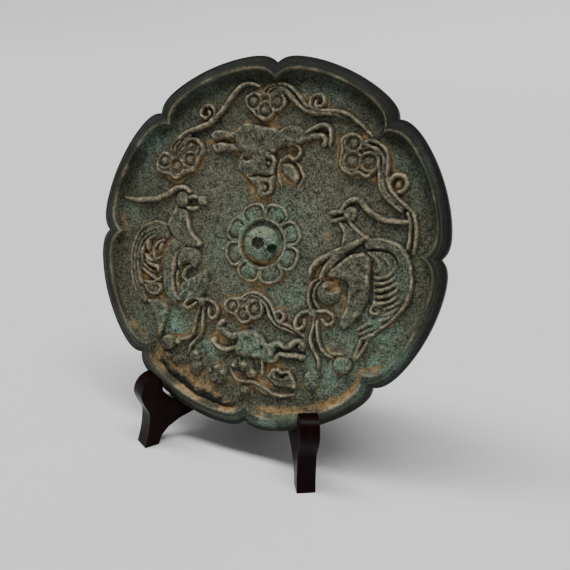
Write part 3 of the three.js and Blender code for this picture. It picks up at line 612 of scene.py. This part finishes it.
def draw_rosette(r):
    """Eight petals that run down to a raised ring, on a low scalloped bed."""
    away = np.hypot(r.x, r.y)
    lobe = 2 * math.pi / LOBES
    turn = np.mod(np.arctan2(r.y, r.x), lobe) - lobe / 2
    out = (away - PETAL_MIDDLE) / PETAL_HALF
    across = np.maximum(out, -0.45 * out)
    along = np.abs(turn) / (0.5 * lobe)
    petal = (across ** PETAL_POWER + along ** PETAL_POWER) ** (1 / PETAL_POWER)
    rim = rounded((petal - 0.92) / 0.11, 0.45)
    leaf = rounded(petal / 0.74, 0.5)
    floor = np.where(petal < 0.93, 0.3, 0)
    r.height = np.maximum(r.height, np.maximum(2.8 * rim, 2.1 * leaf * (1 + 0.1 * LUMPS)) + floor)
    scallop = PETAL_OUTER + 1.0 - 1.5 * np.abs(np.cos(LOBES / 2 * np.arctan2(r.y, r.x)))
    r.height = np.maximum(r.height, 0.9 * np.clip(scallop - away, 0, 1))
    ring = rounded((away - RING_RADIUS) / 1.15, 0.45)
    r.height = np.where(away < RING_RADIUS, 0, r.height)
    r.height = np.maximum(r.height, 2.8 * ring)


draw_clouds(relief)
draw_upper_beast(relief)
draw_lower_beast(relief)
draw_left_bird(relief)
draw_right_bird(relief)
draw_rosette(relief)


def cast_surface(r):
    """Old casting: uneven lines, worn edges, a grainy skin and an eaten strip at the lower left."""
    angle = np.arctan2(r.y, r.x)
    wall = inner_radius(angle) - WALL_RUN - np.hypot(r.x, r.y)
    wander_x = LINE_WANDER * noise(r.x.shape, 1.3, 41)
    wander_y = LINE_WANDER * noise(r.x.shape, 1.3, 42)
    r.height = r.sampled(r.height, r.x + wander_x, r.y + wander_y)
    r.height *= 1 + 0.07 * noise(r.x.shape, 1.1, 43)
    r.height *= ramped(wall, 0, 1.0)
    r.height = blurred(r.height, 0.32)
    grain = sum(height * noise(r.x.shape, reach, seed) for height, reach, seed in SKIN)
    r.height += grain * ramped(wall, 0, 2.0) * (1 - 0.55 * ramped(r.height, 0, 2))
    along = np.clip(1 - ((np.degrees(angle) - EATEN_MIDDLE) / EATEN_SPREAD) ** 2, 0, 1)
    band = wall - EATEN_FROM_WALL + 0.7 * LUMPS * (wall > EATEN_FROM_WALL)
    eaten = (along > 0) & (np.abs(band) < EATEN_HALF_WIDTH * np.sqrt(along))
    r.height += np.where(eaten, EATEN_RISE + 0.35 * LUMPS, 0)
    return eaten


EATEN = cast_surface(relief)


# The mirror's mesh: a carved field of fine triangles, the rim's rows and a plain back

def field_points():
    """Places on the field, ring by ring; ring n has a lobe's n points in each of its lobes."""
    xs, ys = [0.0], [0.0]
    for ring in range(1, FIELD_RINGS + 1):
        angle = np.arange(LOBES * ring) * 2 * math.pi / (LOBES * ring)
        share = ring / FIELD_RINGS
        edge = inner_radius(angle) - WALL_RUN
        round_edge = NOTCH_RADIUS + LOBE_RISE - RIM_FACE - WALL_RUN
        radius = share * (round_edge + (edge - round_edge) * share ** 6)
        xs.extend(radius * np.cos(angle))
        ys.extend(radius * np.sin(angle))
    return np.array(xs), np.array(ys)


def first_on_ring(ring):
    """Index of a ring's first point."""
    return 1 + LOBES * ring * (ring - 1) // 2


def field_faces():
    """Triangles between each ring and the next one inwards."""
    faces = []
    for ring in range(1, FIELD_RINGS + 1):
        count, inner = LOBES * ring, LOBES * (ring - 1)
        start, start_inside = first_on_ring(ring), first_on_ring(ring - 1)
        for lobe in range(LOBES):
            for step in range(ring):
                a = start + lobe * ring + step
                b = start + (lobe * ring + step + 1) % count
                if inner:
                    c = start_inside + (lobe * (ring - 1) + step) % inner
                else:
                    c = 0
                faces.append((a, b, c))
                if step < ring - 1:
                    d = start_inside + (lobe * (ring - 1) + step + 1) % inner
                    faces.append((c, b, d))
    return faces


def rim_rows(angle):
    """Radius and depth of each row from the field's edge over the rim to the back."""
    inner, outer = inner_radius(angle), outer_radius(angle)
    thick = RIM_HEIGHT + FIELD_THICKNESS
    edge = outer + RIM_OVERHANG
    return [
        (inner - 1.9, -4.5), (inner - 1.45, -3.9), (inner - 1.1, -3.0), (inner - 0.75, -1.9),
        (inner - 0.45, -0.9), (inner - 0.15, -0.25), (inner + 0.25, 0.0), (inner + 1.2, 0.05),
        (outer - 2.9, 0.04), (outer - 2.3, -0.08), (outer - 1.6, -0.42), (outer - 0.6, -0.95),
        (outer + 0.3, -1.42), (outer + 0.9, -1.75), (edge - 0.05, -2.2), (edge, -3.0), (edge, -5.5),
        (edge - 0.05, -7.0), (edge - 0.7, -thick + 0.3), (outer - 0.2, -thick),
        (0.8 * outer, -thick - 0.36 * BACK_CROWN),
    ]


def rim_wobble(angle):
    """The casting's outline is a little uneven."""
    rough = np.random.default_rng(21).normal(size=WOBBLES)
    places = np.arange(WOBBLES + 1) * 2 * math.pi / WOBBLES
    return np.interp(angle, places, np.append(rough, rough[0]))


def ring_faces(first, second, count):
    """Quads between two rows of points round a ring."""
    here = np.arange(count)
    after = (here + 1) % count
    return zip(first + here, second + here, second + after, first + after)


def fan_faces(middle, row, count):
    """Triangles from one point to the row round it."""
    here = np.arange(count)
    return zip(np.full(count, middle), row + here, row + (here + 1) % count)


def knob_points():
    """A domed knob with an irregular pit in its top, closed below the field."""
    rows = [*np.arange(0.5, 4.6, 0.25), *(KNOB_RADIUS * np.sin(np.radians(np.arange(29, 90.1, 2.9))))]
    angle = np.arange(KNOB_STEPS) * 2 * math.pi / KNOB_STEPS
    edge = PIT_RADIUS * (1 + 0.07 * np.cos(2 * angle + 0.6) + 0.05 * np.cos(5 * angle + 1.2))
    points = [(0.0, 0.0, KNOB_HEIGHT - PIT_DEPTH)]
    for radius in rows:
        height = KNOB_HEIGHT * math.sqrt(max(0.0, 1 - (radius / KNOB_RADIUS) ** 2))
        pit = PIT_DEPTH * ramped(edge - radius, 0, 0.45)
        x, y = radius * np.cos(angle), radius * np.sin(angle)
        points.extend(zip(x, y, height - pit + 0.07 * relief.sampled(LUMPS, x, y)))
    x, y = KNOB_RADIUS * np.cos(angle), KNOB_RADIUS * np.sin(angle)
    points.extend(zip(x, y, np.full(KNOB_STEPS, -KNOB_ROOT)))
    points.append((0.0, 0.0, -KNOB_ROOT))
    faces = [*fan_faces(0, 1, KNOB_STEPS)]
    for row in range(len(rows)):
        start = 1 + row * KNOB_STEPS
        faces.extend(ring_faces(start, start + KNOB_STEPS, KNOB_STEPS))
    last = len(points) - 1
    faces.extend((a, c, b) for a, b, c in fan_faces(last, last - KNOB_STEPS, KNOB_STEPS))
    return points, faces


def cord_hole_bar():
    """The round bar that cuts the cord hole."""
    turn = Matrix.Rotation(CORD_TURN, 3, "Z")
    angle = np.arange(HOLE_STEPS) * 2 * math.pi / HOLE_STEPS
    points = []
    for along in (-1.5 * KNOB_RADIUS, 1.5 * KNOB_RADIUS):
        for place in angle:
            across, up = CORD_HOLE / 2 * math.cos(place), CORD_HOLE / 2 * math.sin(place)
            points.append(tuple(turn @ Vector((along, across, CORD_HOLE_RISE + up))))
    faces = [tuple(reversed(range(HOLE_STEPS))), tuple(range(HOLE_STEPS, 2 * HOLE_STEPS))]
    for step in range(HOLE_STEPS):
        after = (step + 1) % HOLE_STEPS
        faces.append((step, after, HOLE_STEPS + after, HOLE_STEPS + step))
    return points, faces


def plain_object(name, points, faces):
    mesh = bpy.data.meshes.new(name)
    corners = [[int(corner) for corner in face] for face in faces]
    mesh.from_pydata(np.asarray(points, float).tolist(), [], corners)
    mesh.update()
    thing = bpy.data.objects.new(name, mesh)
    bpy.context.collection.objects.link(thing)
    return thing


def pierced_knob():
    """Points and faces of the knob once the cord hole is cut, heights over the field."""
    knob = plain_object("knob_blank", *knob_points())
    bar = plain_object("knob_bar", *cord_hole_bar())
    cut = knob.modifiers.new("cord_hole", "BOOLEAN")
    cut.operation = "DIFFERENCE"
    cut.solver = "EXACT"
    cut.object = bar
    whole = knob.evaluated_get(bpy.context.evaluated_depsgraph_get())
    mesh = whole.to_mesh()
    points = np.array([vertex.co[:] for vertex in mesh.vertices])
    faces = [tuple(polygon.vertices) for polygon in mesh.polygons]
    whole.to_mesh_clear()
    for thing in (knob, bar):
        bpy.data.objects.remove(thing)
    return points, faces


def mirror_mesh():
    """Points, faces, and how many of the points come before the knob's."""
    x, y = field_points()
    points = [np.column_stack([x, y, relief.sampled(relief.height, x, y) - RIM_HEIGHT])]
    faces = field_faces()
    count = LOBES * FIELD_RINGS
    angle = np.arange(count) * 2 * math.pi / count
    start = len(x)
    for radius, depth in rim_rows(angle):
        rough = 0.05 * noise((1, count), 2, int(abs(depth) * 100) + 11)[0]
        lift = 0.06 * rim_wobble(angle) + rough * (depth > -2)
        points.append(np.column_stack([radius * np.cos(angle), radius * np.sin(angle), depth + lift]))
        faces.extend(ring_faces(start - count, start, count))
        start += count
    points.append(np.array([[0, 0, -RIM_HEIGHT - FIELD_THICKNESS - BACK_CROWN]]))
    faces.extend((b, a, c) for a, b, c in fan_faces(start, start - count, count))
    before_knob = start + 1
    knob, knob_faces = pierced_knob()
    points.append(knob - [0, 0, RIM_HEIGHT])
    faces.extend([before_knob + corner for corner in face] for face in knob_faces)
    return np.vstack(points), faces, before_knob


def mirror_place():
    """From the mirror's own face frame to the model's frame."""
    lean = Matrix.Rotation(math.pi / 2 - LEAN, 4, "X")
    roll = Matrix.Rotation(ROLL, 4, "Z")
    return Matrix.Translation(MIDDLE) @ lean @ roll


def make_mirror():
    points, faces, before_knob = mirror_mesh()
    piece = plain_object("bronze_casting", points * MM, faces)
    add_masks(piece.data, points, before_knob)
    piece.data.transform(mirror_place())
    piece.data.polygons.foreach_set("use_smooth", [True] * len(piece.data.polygons))
    piece.data.set_sharp_from_angle(angle=SHARP_EDGE)
    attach(piece, "root")
    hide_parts("mirror")
    return piece


# Where earth, green patina and wear lie on the bronze: each spot's middle, half lengths, turn and strength

EARTH_SPOTS = [
    (-40, -84, 30, 7, -28, 1.0), (-62, -73, 9, 6, -40, 0.9), (14, -95, 26, 3.6, 8, 1.2),
    (40, -88, 14, 2.5, 28, 0.9), (75, -62, 12, 2.5, 28, 0.8), (-75, -62, 12, 3, -28, 0.7),
    (-5, -79, 14, 4, 0, 0.7), (-22, -57, 8, 3, 0, 0.9), (44, -19, 5, 4, -20, 1.1),
    (-71, -20, 7, 12, 0, 0.6), (-71, -28, 5, 3, 0, 0.6), (0, -11, 8, 3, 0, 1.0),
    (-26, -42, 2.6, 3, 0, 0.9), (-45, -39, 3, 2, 0, 0.7), (27, -42, 2, 3, 0, 0.9),
    (41.5, -38.5, 2, 2, 0, 0.9), (-6, -43, 7, 3, 0, 0.7), (14, 40, 9, 6, -40, 0.7),
    (-9, 30, 9, 5, -40, 0.5), (12, 50, 5, 3, 0, 0.8), (45, 47, 7, 8, 0, 0.6), (75, 37, 3, 3, 0, 1.0),
    (-30, 57, 10, 1.6, 4, 0.9), (25, 59, 4, 3, 0, 0.7), (-50, 42, 10, 4, 20, 0.4),
    (17, 79, 6, 3, -30, 0.6), (-2, 71, 7, 4, 0, 0.5), (-45, 1, 3, 7, 35, 0.8),
    (76, -28, 5, 6, 0, 0.5), (62, -50, 3, 9, 0, 0.5), (16, -68, 6, 3, 0, 0.8),
    (-92, 5, 3, 10, 20, 0.6), (45, -56, 6, 3, -40, 0.7), (-47, -60, 6, 2.6, 20, 0.7),
    (20, -84, 8, 2, 0, 0.6), (38, 6, 5, 5, 40, 0.4),
]
FILLED_HOLLOWS = [
    (-57, 45, 17, 14, 0, 1.0), (-6, 78, 14, 10, 0, 1.0), (52, 50, 14, 13, 0, 1.0),
    (-8, -38, 15, 9, 0, 1.0), (-6, 34, 14, 12, 0, 0.8), (0, -12, 24, 14, 0, 0.8),
    (13, 44, 9, 12, 0, 0.9), (25, 80, 7, 7, 0, 0.8), (-42, 72, 7, 7, 0, 0.8), (75, 37, 8, 8, 0, 0.9),
    (-70, -18, 9, 20, 0, 0.8), (-28, 57, 12, 7, 0, 0.8),
]
GREEN_SPOTS = [
    (0, 0, 24, 24, 0, 1.0), (70, -52, 20, 20, 0, 0.8), (45, -66, 16, 14, 0, 0.7),
    (-52, -52, 12, 8, 0, 0.8), (-30, -64, 8, 5, -20, 1.2), (5, -58, 22, 8, 0, 0.7),
    (18, -30, 16, 10, 0, 0.7), (50, -45, 14, 9, 0, 0.6), (-75, 55, 12, 18, -20, 0.35),
    (-40, 85, 16, 6, 20, 0.3), (80, -8, 10, 20, 0, 0.3), (25, 88, 16, 6, -10, 0.35),
    (-88, 12, 8, 8, 0, 0.4), (80, 40, 12, 14, 0, 0.3), (20, -98, 30, 6, 8, 0.5),
    (-60, -92, 30, 6, -30, 0.4), (-45, -30, 12, 14, 0, 0.4), (-70, -53, 12, 10, 0, 0.3),
    (52, -62, 7, 6, 0, 0.5),
]


def spots(x, y, places):
    """Soft oval spots, the strongest where they overlap."""
    total = np.zeros_like(x)
    for across, up, long, short, turn, strength in places:
        cos, sin = math.cos(math.radians(turn)), math.sin(math.radians(turn))
        dx, dy = x - across, y - up
        away = np.hypot((dx * cos + dy * sin) / long, (dy * cos - dx * sin) / short)
        total = np.maximum(total, strength * np.exp(-away ** 2))
    return total


def carving_masks():
    """On the raster: earth settles in hollows, green lies in patches, high edges are rubbed bare and lighter
    as a painted highlight, creases darker with dark patina and painted shade.
    """
    x, y, height = relief.x, relief.y, relief.height
    wall = ramped(np.hypot(x, y) - inner_radius(np.arctan2(y, x)), -WALL_RUN, WALL_RUN)
    whole = height + RIM_HEIGHT * wall
    carved = height + RIM_HEIGHT * wall * ramped(-y, 35, 30)
    hollow = ramped(blurred(carved, 1.3) - carved, 0.12, 0.6)
    wide_hollow = ramped(blurred(carved, 3) - carved, 0.2, 1.1)
    crest = ramped(whole - blurred(whole, 0.9), 0.2, 0.48)
    patchy = np.clip(0.5 + 0.5 * noise(x.shape, 3, 31), 0, 1)
    speckle = np.clip(0.5 + 0.5 * noise(x.shape, 0.9, 32), 0, 1)
    low = np.clip((40 - y) / 130, 0.12, 1)
    earth = (0.7 * hollow + 0.5 * wide_hollow) * ramped(patchy, 0.35, 0.4) * (0.35 + 0.75 * low)
    open_field = np.clip(1.15 - 0.5 * height, 0.05, 1)
    earth += spots(x, y, EARTH_SPOTS) * open_field * (0.6 + 0.6 * speckle)
    earth += spots(x, y, FILLED_HOLLOWS) * (hollow + wide_hollow) * (0.35 + 0.6 * patchy)
    earth[EATEN] *= 0.1
    return {
        "earth": np.clip(earth, 0, 1),
        "green": np.clip(spots(x, y, GREEN_SPOTS) * (0.45 + 0.75 * patchy), 0, 1),
        # High edges lighter: rubbed bare, and a painted highlight
        "wear_and_highlight": np.clip(crest * (0.45 + 0.6 * speckle), 0, 1),
        # Creases darker: dark patina in them, and painted shade
        "crevice_patina_and_shade": ramped(blurred(height, 0.8) - height, 0.1, 0.4),
        "eaten": EATEN.astype(float),
        "patchy": patchy,
    }


def add_masks(mesh, points, before_knob):
    """The carving's masks at the mesh's points, with what the rim and the knob have of their own."""
    x, y, z = points.T
    far, angle = np.hypot(x, y), np.arctan2(y, x)
    across = far - outer_radius(angle)
    front = z > -RIM_HEIGHT - 0.6
    on_wall = (far > inner_radius(angle) - WALL_RUN) & front
    knob = np.arange(len(x)) >= before_knob
    over_field = z + RIM_HEIGHT
    values = {name: relief.sampled(mask, x, y) * front for name, mask in carving_masks().items()}
    patchy = values.pop("patchy")
    wall_earth = ramped(-y, 35, 50) * ramped(-z, 0, 1.6) * (across < -4) * patchy
    rim_line = np.exp(-((far - inner_radius(angle) + 0.1) / 0.5) ** 2) * (0.15 + 0.5 * patchy)
    knob_earth = ramped(-x - y, 0, 12) * np.clip(1.3 - over_field / 3, 0, 1)
    # Painted highlight: the knob lighter towards its upper left
    knob_highlight = 0.1 + 0.2 * ramped(y - 0.3 * x, 0, 7)
    own = (
        (on_wall, {"earth": wall_earth, "wear_and_highlight": rim_line, "crevice_patina_and_shade": 0}),
        (knob, {"earth": knob_earth, "green": 1.0, "wear_and_highlight": knob_highlight, "crevice_patina_and_shade": 0}),
    )
    for where, changes in own:
        for name, value in changes.items():
            values[name] = np.where(where, value, values[name])
    dome = KNOB_HEIGHT * np.sqrt(np.clip(1 - (far / KNOB_RADIUS) ** 2, 0, 1))
    in_pit = (far < 1.02 * PIT_RADIUS) & (over_field < dome - 0.3)
    turned = -x * math.sin(CORD_TURN) + y * math.cos(CORD_TURN)
    # Painted shade inside the right mouth of the cord hole
    hole_shade = np.hypot(turned, over_field - CORD_HOLE_RISE) < CORD_HOLE / 2 + 0.05
    values["pit"] = knob & (in_pit | (hole_shade & (x > 0)))
    # Painted shade: a painted shadow on the field under the upper wall, the outer lobes darker, the upper
    # ones more, and the wall itself painted darker, the most at the top.
    into_field = np.clip(inner_radius(angle) - WALL_RUN - far, 0, None)
    upper = ramped(y, -30, 70)
    wall_shadow = upper * np.exp(-(into_field / 8) ** 2)
    lobes = 0.5 * ramped(far, 55, 25) * (0.6 + 0.4 * upper)
    painted_shade = np.maximum(wall_shadow, lobes * (1 - 0.8 * values["green"]))
    painted_shade = np.where(on_wall, np.maximum(painted_shade * (z < -0.5), 0.2 + 0.65 * upper), painted_shade)
    values["painted_shade"] = painted_shade * (front & ~knob)
    values["front"] = front
    values["across"] = across
    for name, at_points in values.items():
        layer = mesh.attributes.new(name, "FLOAT", "POINT")
        layer.data.foreach_set("value", np.asarray(at_points, np.float32))


# Materials

PATINA_DARK = (0.006, 0.007, 0.005)
PATINA_CLOUD = (0.016, 0.019, 0.013)
GRAIN_LIGHT = (0.2, 0.2, 0.132)
RIM_LIGHT = (0.075, 0.078, 0.058)
FLECK = (0.3, 0.27, 0.18)
# Dark colour of the painted shade under and on the upper wall
PAINTED_SHADE_DARK = (0.007, 0.009, 0.008)
VERDIGRIS_DEEP = (0.018, 0.042, 0.032)
VERDIGRIS_PALE = (0.29, 0.465, 0.35)
SOIL_DARK = (0.11, 0.066, 0.022)
SOIL_PALE = (0.42, 0.298, 0.145)
# Dark of the patina and painted shade in the creases
CREVICE_PATINA_AND_SHADE = (0.005, 0.005, 0.004)
# Light colour of rubbed edges and painted highlights
RUBBED_METAL_AND_HIGHLIGHT = (0.6, 0.515, 0.335)
EDGE_DARK = (0.004, 0.0045, 0.004)
EATEN_DARK = (0.009, 0.01, 0.007)
# Dark of the pit's patch, also the painted shade in the cord hole
PIT_AND_HOLE_SHADE_DARK = (0.007, 0.003, 0.002)
WOOD_DARK = (0.0012, 0.0003, 0.0003)
WOOD_RED = (0.0095, 0.001, 0.0008)
WOOD_PORE = (0.0006, 0.0004, 0.0004)
STREAK_SPREAD = 14.0


class Nodes:
    """Short calls for a material's node tree."""

    def __init__(self, name):
        self.material = bpy.data.materials.new(name)
        self.material.use_nodes = True
        self.tree = self.material.node_tree
        self.shader = self.tree.nodes["Principled BSDF"]

    def add(self, kind, **inputs):
        node = self.tree.nodes.new(kind)
        for key, value in inputs.items():
            self.feed(node.inputs[key.replace("_", " ")], value)
        return node

    def feed(self, socket, value):
        if isinstance(value, bpy.types.NodeSocket):
            self.tree.links.new(value, socket)
        elif socket.type == "RGBA":
            socket.default_value = (*value, 1)
        else:
            socket.default_value = value

    def attribute(self, name):
        node = self.tree.nodes.new("ShaderNodeAttribute")
        node.attribute_name = name
        return node.outputs["Fac"]

    def place(self):
        return self.tree.nodes.new("ShaderNodeTexCoord").outputs["Object"]

    def noise(self, scale, detail=4.0, roughness=0.55, stretch=None):
        vector = self.place()
        if stretch:
            mapping = self.add("ShaderNodeMapping", Vector=vector, Scale=stretch)
            vector = mapping.outputs["Vector"]
        node = self.add("ShaderNodeTexNoise", Vector=vector, Scale=scale, Detail=detail, Roughness=roughness)
        return node.outputs["Fac"]

    def streaks(self):
        """Fine lines that run along the rim."""
        where = self.tree.nodes.new("ShaderNodeSeparateXYZ")
        self.tree.links.new(self.place(), where.inputs[0])
        wide = self.times(where.outputs[0], STREAK_SPREAD)
        high = self.times(where.outputs[2], STREAK_SPREAD)
        vector = self.add("ShaderNodeCombineXYZ", X=self.attribute("across"), Y=wide, Z=high)
        node = self.add("ShaderNodeTexNoise", Vector=vector.outputs[0], Scale=1.15, Detail=3.0, Roughness=0.6)
        return node.outputs["Fac"]

    def math(self, kind, a, b=0.0):
        node = self.tree.nodes.new("ShaderNodeMath")
        node.operation = kind
        self.feed(node.inputs[0], a)
        self.feed(node.inputs[1], b)
        return node.outputs[0]

    def times(self, a, b):
        return self.math("MULTIPLY", a, b)

    def ramp(self, value, low, high):
        node = self.add("ShaderNodeMapRange", Value=value)
        self.feed(node.inputs["From Min"], low)
        self.feed(node.inputs["From Max"], high)
        return node.outputs["Result"]

    def mix(self, share, a, b):
        node = self.tree.nodes.new("ShaderNodeMix")
        node.data_type = "RGBA"
        self.feed(node.inputs[0], share)
        self.feed(node.inputs[6], a)
        self.feed(node.inputs[7], b)
        return node.outputs[2]

    def blend(self, share, a, b):
        node = self.tree.nodes.new("ShaderNodeMix")
        node.data_type = "FLOAT"
        self.feed(node.inputs[0], share)
        self.feed(node.inputs[2], a)
        self.feed(node.inputs[3], b)
        return node.outputs[0]

    def bump(self, *layers):
        normal = None
        for height, distance in layers:
            node = self.add("ShaderNodeBump", Height=height, Distance=distance, Strength=1.0)
            if normal is not None:
                self.tree.links.new(normal, node.inputs["Normal"])
            normal = node.outputs["Normal"]
        self.tree.links.new(normal, self.shader.inputs["Normal"])


def bronze_material():
    m = Nodes("patinated_bronze")
    cloud = m.ramp(m.noise(30, 5, 0.6), 0.35, 0.65)
    mottle = m.ramp(m.noise(260, 4, 0.6), 0.35, 0.65)
    grain = m.ramp(m.noise(900, 3, 0.65), 0.41, 0.61)
    grain = m.math("ADD", m.times(mottle, 0.35), m.times(grain, 0.65))
    grit = m.ramp(m.noise(1500, 3, 0.8), 0.25, 0.75)
    rim = m.ramp(m.attribute("across"), -7.0, -6.0)
    streaks = m.ramp(m.streaks(), 0.44, 0.64)
    surface = m.blend(m.times(rim, 0.8), grain, streaks)
    surface = m.times(surface, m.blend(m.attribute("front"), 0.55, 1.0))
    base = m.mix(cloud, PATINA_DARK, PATINA_CLOUD)
    light = m.mix(m.times(rim, 0.9), GRAIN_LIGHT, RIM_LIGHT)
    base = m.mix(m.times(surface, 0.9), base, light)
    flecks = m.ramp(m.noise(800, 2, 0.6), 0.60, 0.72)
    base = m.mix(m.times(flecks, m.blend(rim, 0.6, 0.12)), base, FLECK)
    # Painted shade under and on the upper wall, and darker outer lobes
    base = m.mix(m.times(m.attribute("painted_shade"), 0.72), base, PAINTED_SHADE_DARK)
    green = m.times(m.attribute("green"), m.ramp(m.noise(90, 4, 0.6), 0.3, 0.6))
    verdigris = m.mix(grain, VERDIGRIS_DEEP, VERDIGRIS_PALE)
    base = m.mix(green, base, verdigris)
    earth = m.times(m.attribute("earth"), m.blend(grain, 0.7, 1.3))
    earth = m.ramp(earth, 0.18, 0.80)
    soil = m.mix(m.ramp(m.noise(300, 4, 0.6), 0.3, 0.7), SOIL_DARK, SOIL_PALE)
    base = m.mix(earth, base, soil)
    # Creases darkened: dark patina and painted shade
    base = m.mix(m.times(m.attribute("crevice_patina_and_shade"), 0.85), base, CREVICE_PATINA_AND_SHADE)
    # Rubbed edges and painted highlights
    wear_and_highlight = m.times(m.attribute("wear_and_highlight"), m.blend(grain, 0.2, 1.0))
    base = m.mix(wear_and_highlight, base, RUBBED_METAL_AND_HIGHLIGHT)
    edge = m.ramp(m.attribute("across"), -2.6, -0.2)
    base = m.mix(m.times(edge, 0.75), base, EDGE_DARK)
    base = m.mix(m.times(m.attribute("eaten"), 0.9), base, EATEN_DARK)
    # Dark patch in the pit, and painted shade in the right mouth of the cord hole
    pit = m.attribute("pit")
    base = m.mix(m.times(pit, m.blend(grain, 0.97, 0.72)), base, PIT_AND_HOLE_SHADE_DARK)
    dull = m.math("MAXIMUM", earth, pit)
    m.feed(m.shader.inputs["Base Color"], base)
    m.feed(m.shader.inputs["Metallic"], m.blend(dull, 0.2, 0.0))
    m.shader.inputs["Specular IOR Level"].default_value = 0.2
    m.feed(m.shader.inputs["Roughness"], m.blend(dull, m.blend(grain, 0.65, 0.45), 0.95))
    m.bump((surface, 0.00045), (grit, 0.00016))
    return m.material


def wood_material():
    m = Nodes("dark_red_wood")
    grain = m.ramp(m.noise(60, 6, 0.6, (1.0, 1.0, 0.12)), 0.3, 0.7)
    pores = m.ramp(m.noise(500, 4, 0.6, (1.0, 1.0, 0.06)), 0.45, 0.7)
    base = m.mix(grain, WOOD_DARK, WOOD_RED)
    base = m.mix(m.times(pores, 0.6), base, WOOD_PORE)
    m.feed(m.shader.inputs["Base Color"], base)
    m.feed(m.shader.inputs["Roughness"], m.blend(grain, 0.26, 0.36))
    m.shader.inputs["Specular IOR Level"].default_value = 0.06
    m.bump((pores, 0.00004))
    return m.material


def floor_material():
    m = Nodes("pale_floor")
    m.feed(m.shader.inputs["Base Color"], m.mix(m.noise(6, 3), (0.73, 0.73, 0.73), (0.77, 0.77, 0.77)))
    m.feed(m.shader.inputs["Roughness"], 0.9)
    return m.material


bronze_casting = make_mirror()
bronze_casting.data.materials.append(bronze_material())
WOOD = wood_material()


def dress_panel(name):
    """The panel keeps its form, with its sharp corners eased."""
    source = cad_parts[name]
    mesh = source.data.copy()
    piece = bpy.data.objects.new(name.replace("stand_", "wooden_"), mesh)
    bpy.context.collection.objects.link(piece)
    mesh.materials.clear()
    mesh.materials.append(WOOD)
    weld = piece.modifiers.new("weld", "WELD")
    weld.merge_threshold = SAME_PLACE
    planar = piece.modifiers.new("planar", "DECIMATE")
    planar.decimate_type = "DISSOLVE"
    planar.angle_limit = math.radians(1)
    bevel = piece.modifiers.new("eased", "BEVEL")
    bevel.width = EASED_EDGE
    bevel.segments = 3
    bevel.limit_method = "ANGLE"
    bevel.angle_limit = math.radians(40)
    bevel.harden_normals = True
    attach(piece, "root")
    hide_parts(name)


for panel_name in ("stand_left_panel", "stand_right_panel"):
    dress_panel(panel_name)


# Floor and light

def make_floor():
    """A round pale floor that curves up into a wall."""
    turn = np.radians(np.arange(0, 91, 6))
    bend = zip(FLOOR_REACH + WALL_BEND * np.sin(turn), WALL_BEND * (1 - np.cos(turn)))
    rows = [(0.4, 0.0), (1.2, 0.0), *bend, (FLOOR_REACH + WALL_BEND, WALL_HEIGHT)]
    angle = np.arange(FLOOR_STEPS) * 2 * math.pi / FLOOR_STEPS
    points = [(0.0, 0.0, 0.0)]
    faces = [*fan_faces(0, 1, FLOOR_STEPS)]
    for radius, height in rows:
        points.extend(zip(radius * np.cos(angle), radius * np.sin(angle), np.full(FLOOR_STEPS, height)))
    for row in range(len(rows) - 1):
        start = 1 + row * FLOOR_STEPS
        faces.extend(ring_faces(start, start + FLOOR_STEPS, FLOOR_STEPS))
    floor = plain_object("floor", points, faces)
    floor.data.polygons.foreach_set("use_smooth", [True] * len(floor.data.polygons))
    floor.data.materials.append(floor_material())


def make_lights():
    """A long window overhead, tilted to the viewer, as a row of soft distant lights."""
    for index, across in enumerate(WINDOW_SPREAD):
        data = bpy.data.lights.new(f"window_{index}", "SUN")
        data.energy = WINDOW_STRENGTH
        data.angle = WINDOW_SOFTNESS
        light = bpy.data.objects.new(f"window_{index}", data)
        bpy.context.collection.objects.link(light)
        light.rotation_euler = Vector((-across, WINDOW_TILT, -1.0)).to_track_quat("-Z", "Y").to_euler()
    world = bpy.data.worlds.new("studio")
    world.use_nodes = True
    world.node_tree.nodes["Background"].inputs["Color"].default_value = (1, 1, 1, 1)
    world.node_tree.nodes["Background"].inputs["Strength"].default_value = SKY_STRENGTH
    bpy.context.scene.world = world


make_floor()
make_lights()
